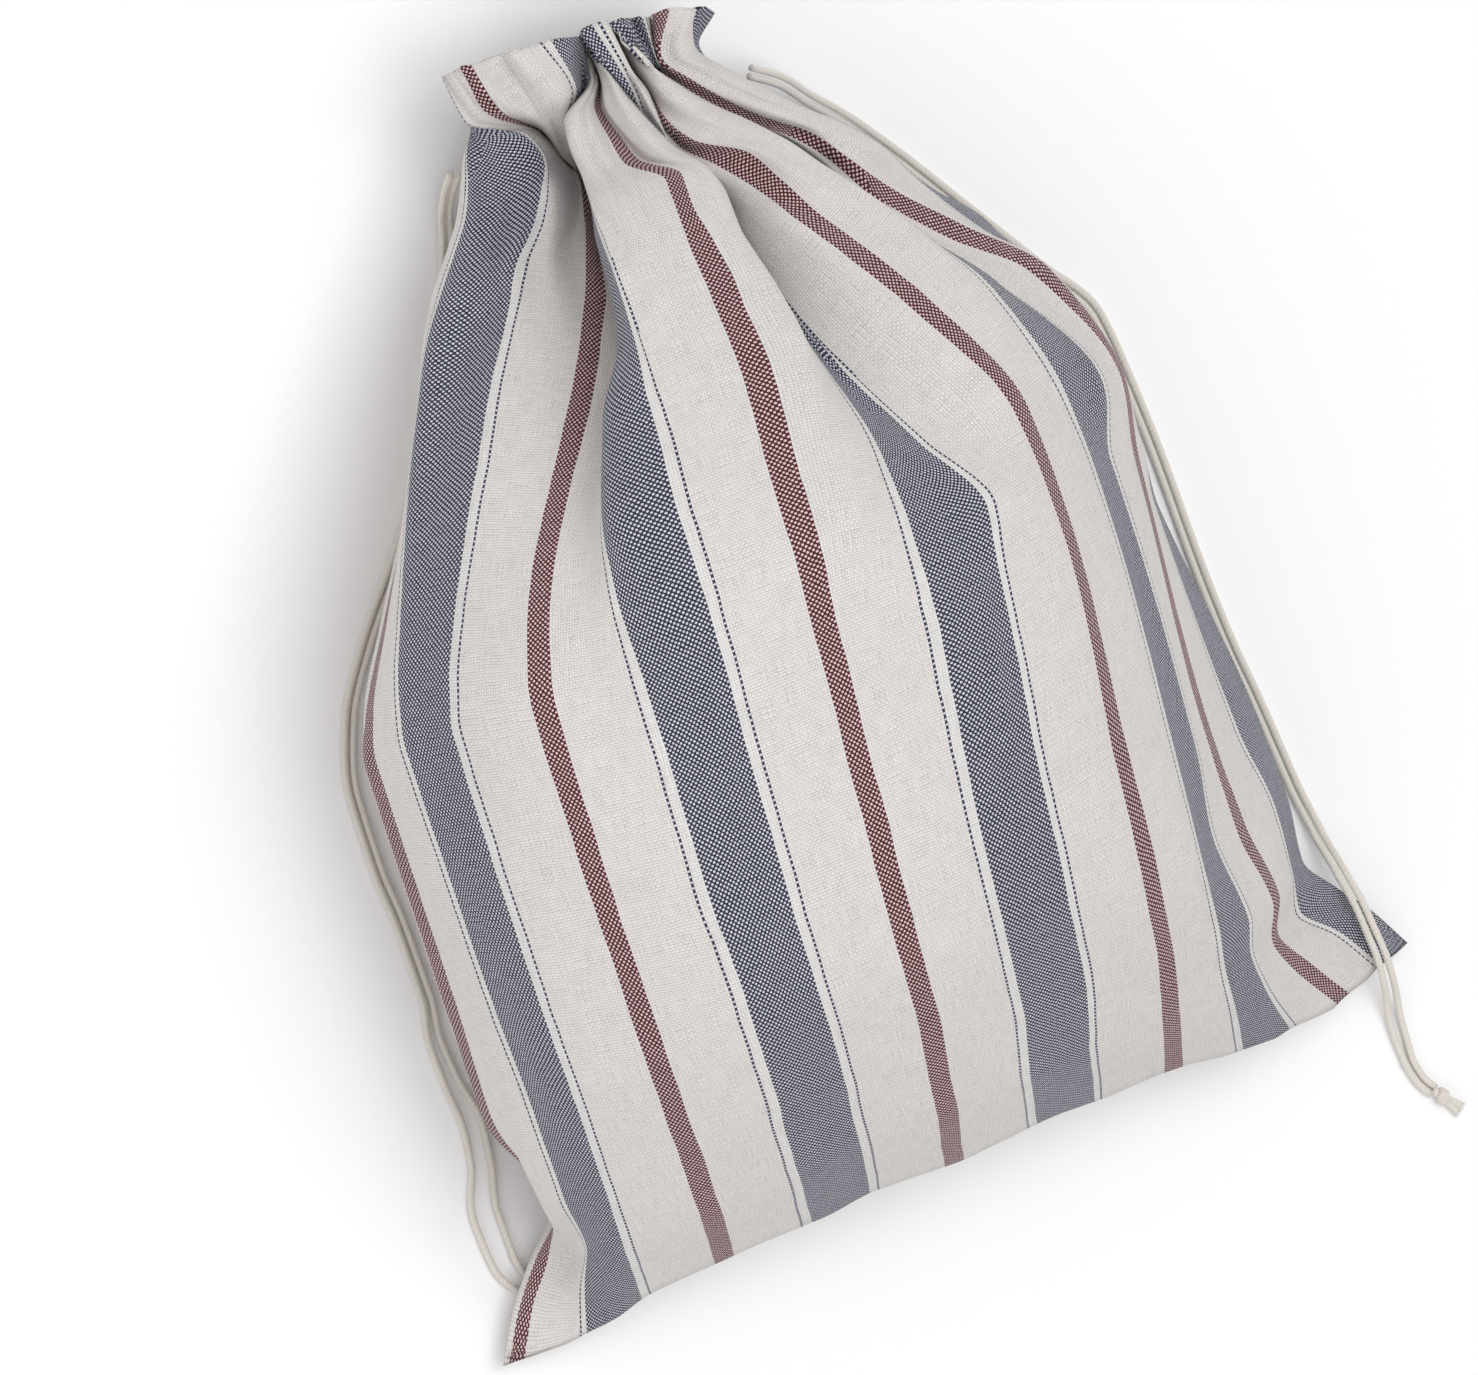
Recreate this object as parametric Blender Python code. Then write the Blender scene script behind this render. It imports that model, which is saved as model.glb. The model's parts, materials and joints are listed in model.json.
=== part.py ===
"""Linen bread bag, drawn shut by its two drawstrings and lying on its back, full of air.

One length of striped cloth is folded across at the foot, seamed up both sides and drawn up at the mouth. The bag's
face is set out along warp lines: each row of FACE is one warp thread, stripe or fold, read from the foot to the
gathers. Places across and along are given in the plane square to the line SIGHT, from which the face is judged,
and heights are given above the surface that the bag lies on. Metres and +Z up; +Y runs from the foot to the neck.
"""

import math

import bmesh
import bpy
import numpy as np

MM = 0.001

# Driving dimensions, in millimetres.
PANEL_WIDTH = 345.0  # the flat cloth from one side seam to the other
THICKNESS = 1.2  # the cloth, as a solid
CORD_DIAMETER = 1.7
LEAN_ACROSS = math.radians(18.0)  # the line SIGHT leans this far to the bag's left
LEAN_ALONG = math.radians(10.0)  # and this far towards the neck
HEADING = 14.0  # the ruffle above the gathers
HEADING_FLARE = 0.03  # how much wider its free edge is than the gathers
HEADING_LIFT = 0.20  # how much deeper its folds are at the free edge
WALL_WIDTH = 0.17  # share of the back's width in which it turns up to each side seam
FOOT_WALL = 62.0  # how far up the bag its foot curves under, at the middle
BASE_RISE_START, BASE_RISE_END = 185.0, 262.0  # along the bag: where the back leaves the surface for the neck
NECK_CLEARANCE = 5.0  # height of the back at the neck
NECK_SLANT = 6.0  # how much lower the back is drawn than the face there
BACK_PLEATS = 7  # folds across the back at the neck
BACK_PLEAT_DEPTH = 5.0

# The stations along the bag. The foot curves, and the ear and the pinch above it follow it by these shares.
ALONG = (0.0, 11.0, 30.0, 77.0, 135.0, 165.0, 195.0, 225.0, 250.0, 271.0)
FOLLOW = (1.0, 1.0, 0.8, 0.0, 0.0, 0.0, 0.0, 0.0, 0.0, 0.0)

# One row for each warp line: its name, its place in the flat cloth from the left side seam, how far along the bag
# its foot lies, its places across at the ten stations from the foot to the gathers, and its heights there.
FACE = (
    ("left seam", 0, -9, (-115, -110, -96, -99.5, -100.5, -86, -68, -52, -37, -30),
     (6, 7, 16, 27, 28, 27, 25, 22, 20, 20)),
    ("first maroon", 8, -9, (-112, -105, -95, -98.5, -99, -85.5, -68.5, -54, -38, -31),
     (6.5, 9, 22, 35, 36, 34, 30, 25, 23, 23)),
    ("first blue", 44, -7, (-87, -85.5, -85, -85, -84, -75, -61, -43, -27, -27),
     (16, 32, 50, 72, 72, 68, 58, 46, 36, 33)),
    ("left crest", 57, -4, (-77, -77, -77, -77, -76, -65, -49, -32, -15, -22),
     (24, 43, 62, 84, 84, 80, 70, 54, 42, 37)),
    ("second maroon", 80, -2, (-58, -57.5, -57.5, -57.5, -56, -46.5, -28.5, -13, -9, -16),
     (32, 55, 76, 98, 101, 91, 72, 52, 36, 33)),
    ("left valley", 92, -1, (-48, -47, -47, -47, -44, -35, -18, -5, -6, -11),
     (35, 59, 82, 104, 107, 96, 72, 46, 30, 28)),
    ("second blue", 110, 0, (-32, -31.5, -30, -29.5, -27, -26, -22, -11.4, -9.5, -8),
     (38, 64, 88, 111, 114, 106, 86, 66, 48, 40)),
    ("middle crest", 129, 2, (-18, -16.5, -15, -13, -9.7, -8.3, -7, -7.1, -7.8, -5),
     (40, 67, 91, 114, 118, 113, 101, 84, 58, 44)),
    ("third maroon", 152, 2, (1, 3, 5.5, 8.6, 13, 15, 16.2, 14.5, 7, 3),
     (41, 69, 92, 115, 119, 115, 104, 86, 60, 46)),
    ("crest's edge", 164, 3, (11, 13, 16, 19.5, 25, 30, 30, 24, 17.5, 9.5),
     (41, 69, 91, 115, 118, 111, 98, 80, 56, 42)),
    ("third blue", 188, 5, (30, 32, 36, 40.3, 47.5, 43, 31, 21, 14, 11),
     (40, 66, 88, 112, 114, 100, 78, 52, 34, 30)),
    ("right valley", 201, 5, (39, 41.5, 46, 50.7, 58, 49, 33.5, 22, 14, 11.5),
     (39, 64, 85, 108, 111, 98, 79, 54, 35, 31)),
    ("fourth maroon", 224, 6, (57, 59.5, 63.3, 68, 72.5, 71.7, 58.5, 38.8, 20.5, 12),
     (35, 58, 78, 98, 100, 95, 86, 68, 46, 38)),
    ("right crest", 244, 5, (69, 71, 73, 77, 80.5, 83, 73, 55, 34, 18),
     (31, 52, 70, 86, 86, 86, 79, 66, 46, 40)),
    ("fourth blue", 262, 5, (81, 82, 82, 84.5, 87, 90.5, 77, 52, 31, 16),
     (27, 44, 58, 72, 72, 69, 60, 44, 32, 29)),
    ("fifth maroon", 296, 8, (99, 95.5, 91, 90.5, 94.5, 97.5, 86, 59, 36, 18.5),
     (15, 26, 40, 52, 52, 52, 50, 46, 36, 32)),
    ("fifth blue", 332, 14, (115, 109, 100, 98.5, 96, 93, 86, 66, 43, 27),
     (6, 9, 18, 25, 22, 22, 26, 28, 26, 27)),
    ("right seam", 345, 15, (119.5, 115, 103, 101, 96, 91, 86, 66, 43, 30),
     (4, 5, 12, 14, 10, 11, 18, 20, 20, 20)),
)

# How many pieces the cloth is cut into between one warp line and the next, and between one station and the next.
ACROSS_STEPS = (1, 4, 2, 3, 2, 3, 3, 3, 2, 3, 2, 3, 3, 2, 4, 4, 2)
ALONG_STEPS = (3, 2, 2, 3, 2, 3, 3, 3, 3)
HEADING_STEPS = 3

# Each pair of strands, from the channel to its knot: places across and along, the height of its middle, and the
# gap between the two.
RIGHT_ROUTE = (
    (38, 261.5, 18, 0.4), (44.5, 257, 13, 0.4), (49, 251.5, 8.5, 0.4), (55.5, 244.5, 3.6, 0.4), (62, 236, 1.3, 0.4),
    (75, 216.5, 1.2, 0.4), (88, 196.5, 1.2, 0.4), (97.6, 181.5, 1.2, 0.4), (99.5, 165, 1.2, 0.4),
    (100.8, 143, 1.2, 0.4), (101.3, 120, 1.2, 0.4), (102.4, 99, 1.2, 0.4), (104.2, 82.5, 1.2, 0.4),
    (106.2, 60.5, 1.2, 0.4), (108, 48, 3, 0.4), (110, 38, 8.5, 0.4), (112, 27, 12, 0.4), (112.9, 17, 12, 0.5),
    (112.8, 10, 9.3, 0.8), (112, 4, 4, 1.2), (111.2, -3, 1.4, 1.2), (111.2, -10, 1.2, 0.5), (112.6, -16.3, 1.2, 0.3),
    (114.6, -19.4, 1.2, 0.3),
)
LEFT_ROUTE = (
    (-35.6, 261, 17, 0.4), (-39.2, 256, 10, 0.4), (-41.6, 250, 3.2, 0.4), (-45, 240, 1.2, 0.4), (-52.5, 222, 1.2, 0.4),
    (-63, 200, 1.2, 0.4), (-76, 182, 1.2, 0.4), (-92, 161.5, 1.2, 0.4), (-100.6, 147, 1.2, 0.4),
    (-105.5, 129, 1.2, 0.4), (-105.8, 112, 1.2, 0.4), (-104.8, 97, 1.2, 0.4), (-104.6, 79, 1.2, 0.6),
    (-106, 69, 1.2, 1.2), (-105.5, 59, 1.2, 1.8), (-104, 48, 1.2, 3.1), (-105, 38, 1.2, 3.3), (-108, 26, 1.2, 4.6),
    (-107.5, 14, 1.2, 4), (-103.5, 6, 1.2, 1.6), (-98.5, 2.5, 1.2, 0.4),
)
ROUTE_POINTS = 34

# A knot and its frayed tail: the place along it from the strands' ends, its radius there and its middle's height.
KNOT = (
    (0.5, 0.95, 1.35), (1.1, 1.45, 1.65), (2.0, 1.8, 1.9), (3.0, 1.8, 1.9), (3.9, 1.5, 1.7), (4.5, 1.1, 1.4),
    (5.1, 0.9, 1.15), (6.2, 1.05, 1.2), (7.3, 1.25, 1.35), (8.1, 1.15, 1.3),
)


def sight_axes():
    """The directions across the face, along it and towards the eye."""
    toward = np.array((-math.tan(LEAN_ACROSS), math.tan(LEAN_ALONG), 1.0))
    toward /= np.linalg.norm(toward)
    along = np.array((0.0, 1.0, 0.0)) - toward[1] * toward
    along /= np.linalg.norm(along)
    return np.cross(along, toward), along, toward


def placed(across, along, height):
    """Points at these places in the face's plane, moved along the sight to these heights."""
    right, up, toward = sight_axes()
    flat = across[..., None] * right + along[..., None] * up
    return flat + ((height - flat[..., 2]) / toward[2])[..., None] * toward


def smooth_curve(knots, values, wanted):
    """Values read between the knots by a cubic that never overshoots them."""
    knots, values, wanted = (np.asarray(each, float) for each in (knots, values, wanted))
    shape = (-1,) + (1,) * (values.ndim - 1)
    step = np.diff(knots)
    rise = np.diff(values, axis=0) / step.reshape(shape)
    before, after = rise[:-1], rise[1:]
    total = np.where(before + after == 0, 1.0, before + after)
    inner = np.where(before * after > 0, 2 * before * after / total, 0.0)
    slope = np.concatenate([rise[:1], inner, rise[-1:]])
    cell = np.clip(np.searchsorted(knots, wanted, side="right") - 1, 0, len(step) - 1)
    width = step[cell].reshape(shape)
    share = ((wanted - knots[cell]) / step[cell]).reshape(shape)
    square, cube = share**2, share**3
    return (
        (2 * cube - 3 * square + 1) * values[cell]
        + (cube - 2 * square + share) * width * slope[cell]
        + (3 * square - 2 * cube) * values[cell + 1]
        + (cube - square) * width * slope[cell + 1]
    )


def cut(marks, steps):
    """The marks, with each gap between them cut into its number of steps."""
    return np.concatenate(
        [np.linspace(a, b, n, endpoint=False) for a, b, n in zip(marks, marks[1:], steps)]
        + [[marks[-1]]]
    )


def face_surface():
    """The face's outer points as rows from the foot to the heading's free edge, and each column's place in the cloth."""
    flat_places = np.array([row[1] for row in FACE], float)
    lines = []
    for _, _, foot, across, heights in FACE:
        stations = np.array(ALONG) + foot * np.array(FOLLOW)
        along = cut(stations, ALONG_STEPS)
        pair = np.stack([across, heights], axis=1).astype(float)
        lines.append(np.column_stack([smooth_curve(stations, pair, along), along]))
    columns = cut(flat_places, ACROSS_STEPS)
    grid = smooth_curve(flat_places, np.array(lines), columns).transpose(1, 0, 2)
    return placed(grid[..., 0], grid[..., 2], grid[..., 1]), columns


def fall(share):
    """A quarter round that starts upright at one and has lain down by nought."""
    clear = 1.0 - np.clip(share, 0.0, 1.0)
    return 1.0 - np.sqrt(1.0 - clear**2)


def back_surface(face, columns):
    """The back's outer points: it hangs from the side seams and the foot, lies flat, and rises in folds to the neck."""
    share = (columns / PANEL_WIDTH)[None, :, None]
    left, right, foot = face[:, :1], face[:, -1:], face[:1]
    level = left + (right - left) * share
    points = level + (foot - level[:1]) * np.exp(-(((level[..., 1:2] - level[:1, :, 1:2]) / FOOT_WALL) ** 2))
    inward = (points[..., 1] - points[:1, :, 1]) / FOOT_WALL
    across = share[..., 0]
    at_left, at_right, at_foot = fall(across / WALL_WIDTH), fall((1 - across) / WALL_WIDTH), fall(inward)
    rise = np.clip((points[..., 1] - BASE_RISE_START) / (BASE_RISE_END - BASE_RISE_START), 0, 1)
    rise = rise**2 * (3 - 2 * rise)
    folds = NECK_CLEARANCE + BACK_PLEAT_DEPTH * (0.5 - 0.5 * np.cos(2 * math.pi * BACK_PLEATS * across))
    lying = rise * folds
    edge_left, edge_right = left[..., 2], right[..., 2]
    points[..., 1] -= NECK_SLANT * rise * (1 - at_left - at_right)
    points[..., 2] = (
        at_left * edge_left
        + at_right * edge_right
        + (1 - at_left - at_right) * lying * (1 - at_foot)
        + at_foot * (foot[..., 2] - at_left * edge_left[:1] - at_right * edge_right[:1])
    )
    return points


def with_heading(rows, middle):
    """The rows with the heading added: the folds stand on past the gathers, opening and deepening to a free edge."""
    gather = rows[-1]
    added = []
    for step in range(1, HEADING_STEPS + 1):
        share = step / HEADING_STEPS
        ring = gather.copy()
        ring[:, 0] += HEADING_FLARE * share * (gather[:, 0] - middle[0])
        ring[:, 2] += HEADING_LIFT * share * (gather[:, 2] - middle[2])
        ring[:, 1] += HEADING * share
        added.append(ring)
    return np.concatenate([rows, np.array(added)])


def sock(face, back):
    """The points of a sock of rings, and its quads facing out. The foot is a single row that face and back share."""
    width = face.shape[1] - 1
    around = 2 * width
    rings = np.concatenate([face, back[:, -2:0:-1]], axis=1)
    points = np.concatenate([face[0], rings[1:].reshape(-1, 3)])

    def at(row, column):
        column %= around
        if row:
            return width + 1 + (row - 1) * around + column
        return column if column <= width else around - column

    quads = [
        (at(row, column), at(row, column + 1), at(row + 1, column + 1), at(row + 1, column))
        for row in range(len(face) - 1)
        for column in range(around)
    ]
    return points, quads, [at(len(face) - 1, column) for column in range(around)]


def moved_in(points, quads, depth):
    """The points moved in square to their quads, so that the walls keep their depth round bends, within reason."""
    total, count = np.zeros_like(points), np.zeros(len(points))
    for quad in quads:
        a, b, c, d = (points[index] for index in quad)
        normal = np.cross(c - a, d - b)
        normal /= np.linalg.norm(normal)
        for index in quad:
            total[index] += normal
            count[index] += 1
    mean = total / count[:, None]
    length = np.linalg.norm(mean, axis=1, keepdims=True)
    return points - mean / length * depth / np.clip(length, 0.55, 1.0)


def mesh_object(name, points, faces, material):
    """A closed body from points in millimetres."""
    mesh = bpy.data.meshes.new(name)
    mesh.from_pydata([tuple(point) for point in points * MM], [], faces)
    work = bmesh.new()
    work.from_mesh(mesh)
    bmesh.ops.recalc_face_normals(work, faces=work.faces)
    work.to_mesh(mesh)
    work.free()
    mesh.materials.append(material)
    made = bpy.data.objects.new(name, mesh)
    bpy.context.scene.collection.objects.link(made)
    return made


def finish(name, colour, roughness):
    """A plain Principled material."""
    material = bpy.data.materials.new(name)
    material.use_nodes = True
    shader = material.node_tree.nodes["Principled BSDF"]
    shader.inputs["Base Color"].default_value = (*colour, 1.0)
    shader.inputs["Roughness"].default_value = roughness
    return material


def outer_surfaces():
    """The outsides of face and back with their heading, and the shift that brings the bag's middle over the origin."""
    face, columns = face_surface()
    back = back_surface(face, columns)
    middle = (face[-1].mean(axis=0) + back[-1].mean(axis=0)) / 2
    face, back = with_heading(face, middle), with_heading(back, middle)
    both = np.concatenate([face, back]).reshape(-1, 3)
    shift = -(both.min(axis=0) + both.max(axis=0)) / 2 * (1, 1, 0)
    return face + shift, back + shift, shift


def bag_cloth(face, back):
    """The whole bag as one wall of cloth: foot fold, side seams, gathers, channel and heading."""
    outer, quads, rim = sock(face, back)
    inner = moved_in(outer, quads, THICKNESS)
    count = len(outer)
    faces = quads + [tuple(count + index for index in reversed(quad)) for quad in quads]
    for a, b in zip(rim, rim[1:] + rim[:1]):
        faces.append((a, b, count + b, count + a)[::-1])
    return mesh_object("bag_cloth", np.concatenate([outer, inner]), faces, finish("linen", (0.76, 0.72, 0.68), 0.9))


def route_points(route, shift):
    """A strand pair's middle line in space and the gap along it, read along a smooth curve through the route."""
    across, along, height, gap = np.array(route, float).T
    knots = placed(across, along, height) + shift
    reach = np.concatenate([[0], np.cumsum(np.linalg.norm(np.diff(knots, axis=0), axis=1))])
    read = smooth_curve(reach, np.column_stack([knots, gap]), np.linspace(0, reach[-1], ROUTE_POINTS))
    return read[:, :3], read[:, 3:]


def strands(side, route, shift, material):
    """The two strands of one drawstring, side by side."""
    middle, gap = route_points(route, shift)
    heading = np.gradient(middle, axis=0)
    aside = np.column_stack([-heading[:, 1], heading[:, 0], np.zeros(len(middle))])
    aside /= np.linalg.norm(aside, axis=1, keepdims=True)
    for letter, way in (("a", 1.0), ("b", -1.0)):
        path = middle + aside * way * (CORD_DIAMETER + gap) / 2
        curve = bpy.data.curves.new(f"cord_{side}_{letter}", "CURVE")
        curve.dimensions = "3D"
        curve.bevel_depth = CORD_DIAMETER / 2 * MM
        curve.bevel_resolution = 2
        curve.use_fill_caps = True
        spline = curve.splines.new("POLY")
        spline.points.add(len(path) - 1)
        for point, place in zip(spline.points, path * MM):
            point.co = (*place, 1.0)
        curve.materials.append(material)
        cord = bpy.data.objects.new(curve.name, curve)
        bpy.context.scene.collection.objects.link(cord)
    return middle[-1], heading[-1] / np.linalg.norm(heading[-1])


def knot(side, end, way, material):
    """An overhand knot with its short frayed tail, as one lobed body on the surface."""
    way = np.array((way[0], way[1], 0.0)) / math.hypot(way[0], way[1])
    aside, around = np.array((-way[1], way[0], 0.0)), 14
    points, faces = [], []
    for place, radius, height in KNOT:
        middle = np.array((end[0], end[1], 0.0)) + way * place + np.array((0, 0, height + 0.15))
        for step in range(around):
            turn = 2 * math.pi * step / around
            reach = radius * (0.93 + 0.07 * math.cos(3 * turn + 0.5 * place))
            points.append(middle + (aside * math.cos(turn) + np.array((0, 0, math.sin(turn)))) * reach)
    rings = len(KNOT)
    for ring in range(rings - 1):
        for step in range(around):
            a, b = ring * around + step, ring * around + (step + 1) % around
            faces.append((a, b, b + around, a + around))
    faces.append(tuple(range(around)))
    faces.append(tuple(range((rings - 1) * around, rings * around)))
    return mesh_object(f"knot_{side}", np.array(points), faces, material)


def main():
    """Clear the scene and make the bag, its drawstrings and their knots."""
    for old in list(bpy.data.objects):
        bpy.data.objects.remove(old, do_unlink=True)
    face, back, shift = outer_surfaces()
    bag_cloth(face, back)
    cord = finish("cord", (0.74, 0.70, 0.63), 0.85)
    for side, route in (("right", RIGHT_ROUTE), ("left", LEFT_ROUTE)):
        end, way = strands(side, route, shift, cord)
        knot(side, end, way, cord)


main()
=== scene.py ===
"""Linen bread bag: a striped pouch drawn shut by two cotton drawstrings, lying on its back and full of air.

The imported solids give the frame. This file dresses them: the cloth with its weave and stripes, its gathers
and its ruffled heading, the two pairs of cord strands and the knots with their frayed ends.
"""

from __future__ import annotations

import json
import logging
import math
from dataclasses import dataclass, field
from enum import Enum

import bmesh
import bpy
import numpy as np
from mathutils import Matrix, Vector

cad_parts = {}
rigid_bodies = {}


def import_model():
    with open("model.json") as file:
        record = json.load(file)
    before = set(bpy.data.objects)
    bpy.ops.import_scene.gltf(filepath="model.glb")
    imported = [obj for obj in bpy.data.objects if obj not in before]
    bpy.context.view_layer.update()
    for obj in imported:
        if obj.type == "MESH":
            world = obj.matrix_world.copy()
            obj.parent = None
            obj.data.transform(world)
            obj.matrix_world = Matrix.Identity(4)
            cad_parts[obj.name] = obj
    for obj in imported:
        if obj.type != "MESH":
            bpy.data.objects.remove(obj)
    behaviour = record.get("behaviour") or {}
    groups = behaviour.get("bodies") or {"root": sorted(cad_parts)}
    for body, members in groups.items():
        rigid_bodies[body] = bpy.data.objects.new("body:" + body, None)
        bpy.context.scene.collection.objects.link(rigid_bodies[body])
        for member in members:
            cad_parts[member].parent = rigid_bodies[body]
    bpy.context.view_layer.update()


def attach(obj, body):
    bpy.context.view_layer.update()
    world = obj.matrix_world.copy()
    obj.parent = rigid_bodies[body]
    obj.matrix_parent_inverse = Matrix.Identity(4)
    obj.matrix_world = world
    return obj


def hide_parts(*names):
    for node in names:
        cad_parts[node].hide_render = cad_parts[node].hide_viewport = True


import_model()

MM = 0.001
BODY = "root"
TINY = 1e-12  # the least that anything is divided by

Array = np.ndarray
Socket = bpy.types.NodeSocket
Colour = tuple[float, float, float]
Pair = tuple[float, float]
Faces = list[tuple[int, ...]]
Wave = tuple[float, float, float, float]  # its height, its length along, its turns across and its start

# The face is set out across and along in the plane square to this line of sight.
LEAN_ACROSS = math.radians(18.0)
LEAN_ALONG = math.radians(10.0)
# From where the face is set out to where the bag stands, in millimetres.
SHIFT = np.array((-0.741, -147.495, 0.0))


def sight_axes() -> tuple[Array, Array, Array]:
    """Find the directions that the face is set out in.

    Returns:
        The unit vectors across the face, along it, and out of it towards the eye.
    """
    toward = np.array((-math.tan(LEAN_ACROSS), math.tan(LEAN_ALONG), 1.0))
    toward /= np.linalg.norm(toward)
    along = np.array((0.0, 1.0, 0.0)) - toward[1] * toward
    along /= np.linalg.norm(along)
    return np.cross(along, toward), along, toward


def placed(across: Array, along: Array, height: Array) -> Array:
    """Place points of the face in space.

    Args:
        across: Places across the face, in millimetres.
        along: Places along it.
        height: Heights above the surface that the bag lies on.

    Returns:
        The points, moved along the sight from the face's plane to their heights.
    """
    right, up, toward = sight_axes()
    flat = across[..., None] * right + along[..., None] * up
    return flat + ((height - flat[..., 2]) / toward[2])[..., None] * toward


def smooth_curve(knots: Array, values: Array, wanted: Array) -> Array:
    """Read values between knots by a cubic that never overshoots them.

    Args:
        knots: Rising places, at least two.
        values: One value or row of values for each knot.
        wanted: The places to read at.

    Returns:
        One value or row for each wanted place.
    """
    knots, values, wanted = (np.asarray(each, float) for each in (knots, values, wanted))
    shape = (-1,) + (1,) * (values.ndim - 1)
    step = np.diff(knots)
    rise = np.diff(values, axis=0) / step.reshape(shape)
    before, after = rise[:-1], rise[1:]
    total = np.where(before + after == 0, 1.0, before + after)
    inner = np.where(before * after > 0, 2 * before * after / total, 0.0)
    slope = np.concatenate([rise[:1], inner, rise[-1:]])
    cell = np.clip(np.searchsorted(knots, wanted, side="right") - 1, 0, len(step) - 1)
    width = step[cell].reshape(shape)
    share = ((wanted - knots[cell]) / step[cell]).reshape(shape)
    square, cube = share**2, share**3
    return (
        (2 * cube - 3 * square + 1) * values[cell]
        + (cube - 2 * square + share) * width * slope[cell]
        + (3 * square - 2 * cube) * values[cell + 1]
        + (cube - square) * width * slope[cell + 1]
    )


def eased(value: Array, start: float, end: float) -> Array:
    """Ease from nought at start to one at end."""
    share = np.clip((value - start) / (end - start), 0.0, 1.0)
    return share * share * (3.0 - 2.0 * share)


def lengths_along(points: Array) -> Array:
    """Measure how far along a line of points each of them lies."""
    return np.concatenate([[0.0], np.cumsum(np.linalg.norm(np.diff(points, axis=0), axis=1))])


def piece_from(name: str, points: Array, faces: Faces, layers: dict[str, Array]) -> bpy.types.Object:
    """Make one smooth mesh piece from points in millimetres.

    Args:
        name: The piece's name.
        points: Its points.
        faces: Its faces, as rows of point numbers, facing out.
        layers: For each map's name, one pair for each corner of each face, in face order.

    Returns:
        The new object, linked to the scene and riding on the bag's one body.
    """
    mesh = bpy.data.meshes.new(name)
    mesh.from_pydata([tuple(point) for point in points * MM], [], faces)
    for layer_name, pairs in layers.items():
        layer = mesh.uv_layers.new(name=layer_name)
        layer.data.foreach_set("uv", np.asarray(pairs, np.float32).ravel())
    mesh.polygons.foreach_set("use_smooth", [True] * len(mesh.polygons))
    mesh.update()
    piece = bpy.data.objects.new(name, mesh)
    bpy.context.scene.collection.objects.link(piece)
    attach(piece, BODY)
    return piece


def waves(along: Array, across: Array, rows: tuple[Wave, ...]) -> Array:
    """Add up a few waves.

    Args:
        along: Places along the bag.
        across: Places across it.
        rows: The waves.

    Returns:
        Their sum at each place.
    """
    return sum(
        height * np.sin(along / length + across * turns + start) for height, length, turns, start in rows
    )


def uneven(along: Array, across: Array, wave: Wave) -> Array:
    """Give a factor that one wave takes down from one by up to twice its height."""
    return 1.0 - wave[0] + waves(along, across, (wave,))


def blurred(values: Array, reach: int) -> Array:
    """Average a grid over a square window.

    Args:
        values: The grid.
        reach: How many steps the window goes each way.

    Returns:
        The smoothed grid, of the same shape.
    """
    window = np.ones(2 * reach + 1) / (2 * reach + 1)
    for axis in (0, 1):
        ends = [(reach, reach) if each == axis else (0, 0) for each in (0, 1)]
        padded = np.pad(values, ends, mode="edge")
        values = np.apply_along_axis(np.convolve, axis, padded, window, "valid")
    return values


def even_picks(rows: Array, rounds: int = 500, settled: float = 1e-6, least: float = 0.05) -> Array:
    """Find how far along the cloth each point lies, with the weft kept square to the warp.

    The answer climbs a millimetre for each millimetre along a warp end and stays level square to it,
    as nearly as the whole surface lets it: a least-squares fit, found by conjugate gradients.

    Args:
        rows: The surface's points, in rows along the warp.
        rounds: The most steps to take.
        settled: The square of the error that is let be.
        least: The shortest step between points that still counts in full, in millimetres.

    Returns:
        A length for each point, near nought along the first row.
    """
    down, over = np.diff(rows, axis=0), np.diff(rows, axis=1)
    length, width = np.linalg.norm(down, axis=2), np.linalg.norm(over, axis=2)
    warp = np.gradient(rows, axis=0)
    warp /= np.maximum(np.linalg.norm(warp, axis=2, keepdims=True), TINY)
    lead = (over * (warp[:, 1:] + warp[:, :-1]) / 2).sum(axis=2)
    typical_length, typical_width = length.mean(), width.mean()
    down_weight = typical_width / np.maximum(length, least)
    over_weight = typical_length / np.maximum(width, least)

    def spread(along_down: Array, along_over: Array) -> Array:
        """Gather what each step between points gives the two points at its ends.

        Args:
            along_down: What each step along the warp gives.
            along_over: What each step across it gives.

        Returns:
            The sum at each point.
        """
        total = np.zeros(rows.shape[:2])
        total[1:] += along_down
        total[:-1] -= along_down
        total[:, 1:] += along_over
        total[:, :-1] -= along_over
        return total

    def pull(values: Array) -> Array:
        """Weigh how far each point's length is from its neighbours', with the first row held at nought.

        Args:
            values: A length for each point.

        Returns:
            The pull on each point.
        """
        result = spread(down_weight * np.diff(values, axis=0), over_weight * np.diff(values, axis=1))
        result[0] += values[0]
        return result

    answer = np.concatenate([np.zeros((1, rows.shape[1])), np.cumsum(length, axis=0)])
    residual = spread(down_weight * length, over_weight * lead) - pull(answer)
    step, size = residual.copy(), float((residual**2).sum())
    for _ in range(rounds):
        pulled = pull(step)
        stride = size / max(float((step * pulled).sum()), TINY)
        answer, residual = answer + stride * step, residual - stride * pulled
        size, before = float((residual**2).sum()), size
        if size < settled:
            break
        step = residual + size / before * step
    return answer


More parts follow.
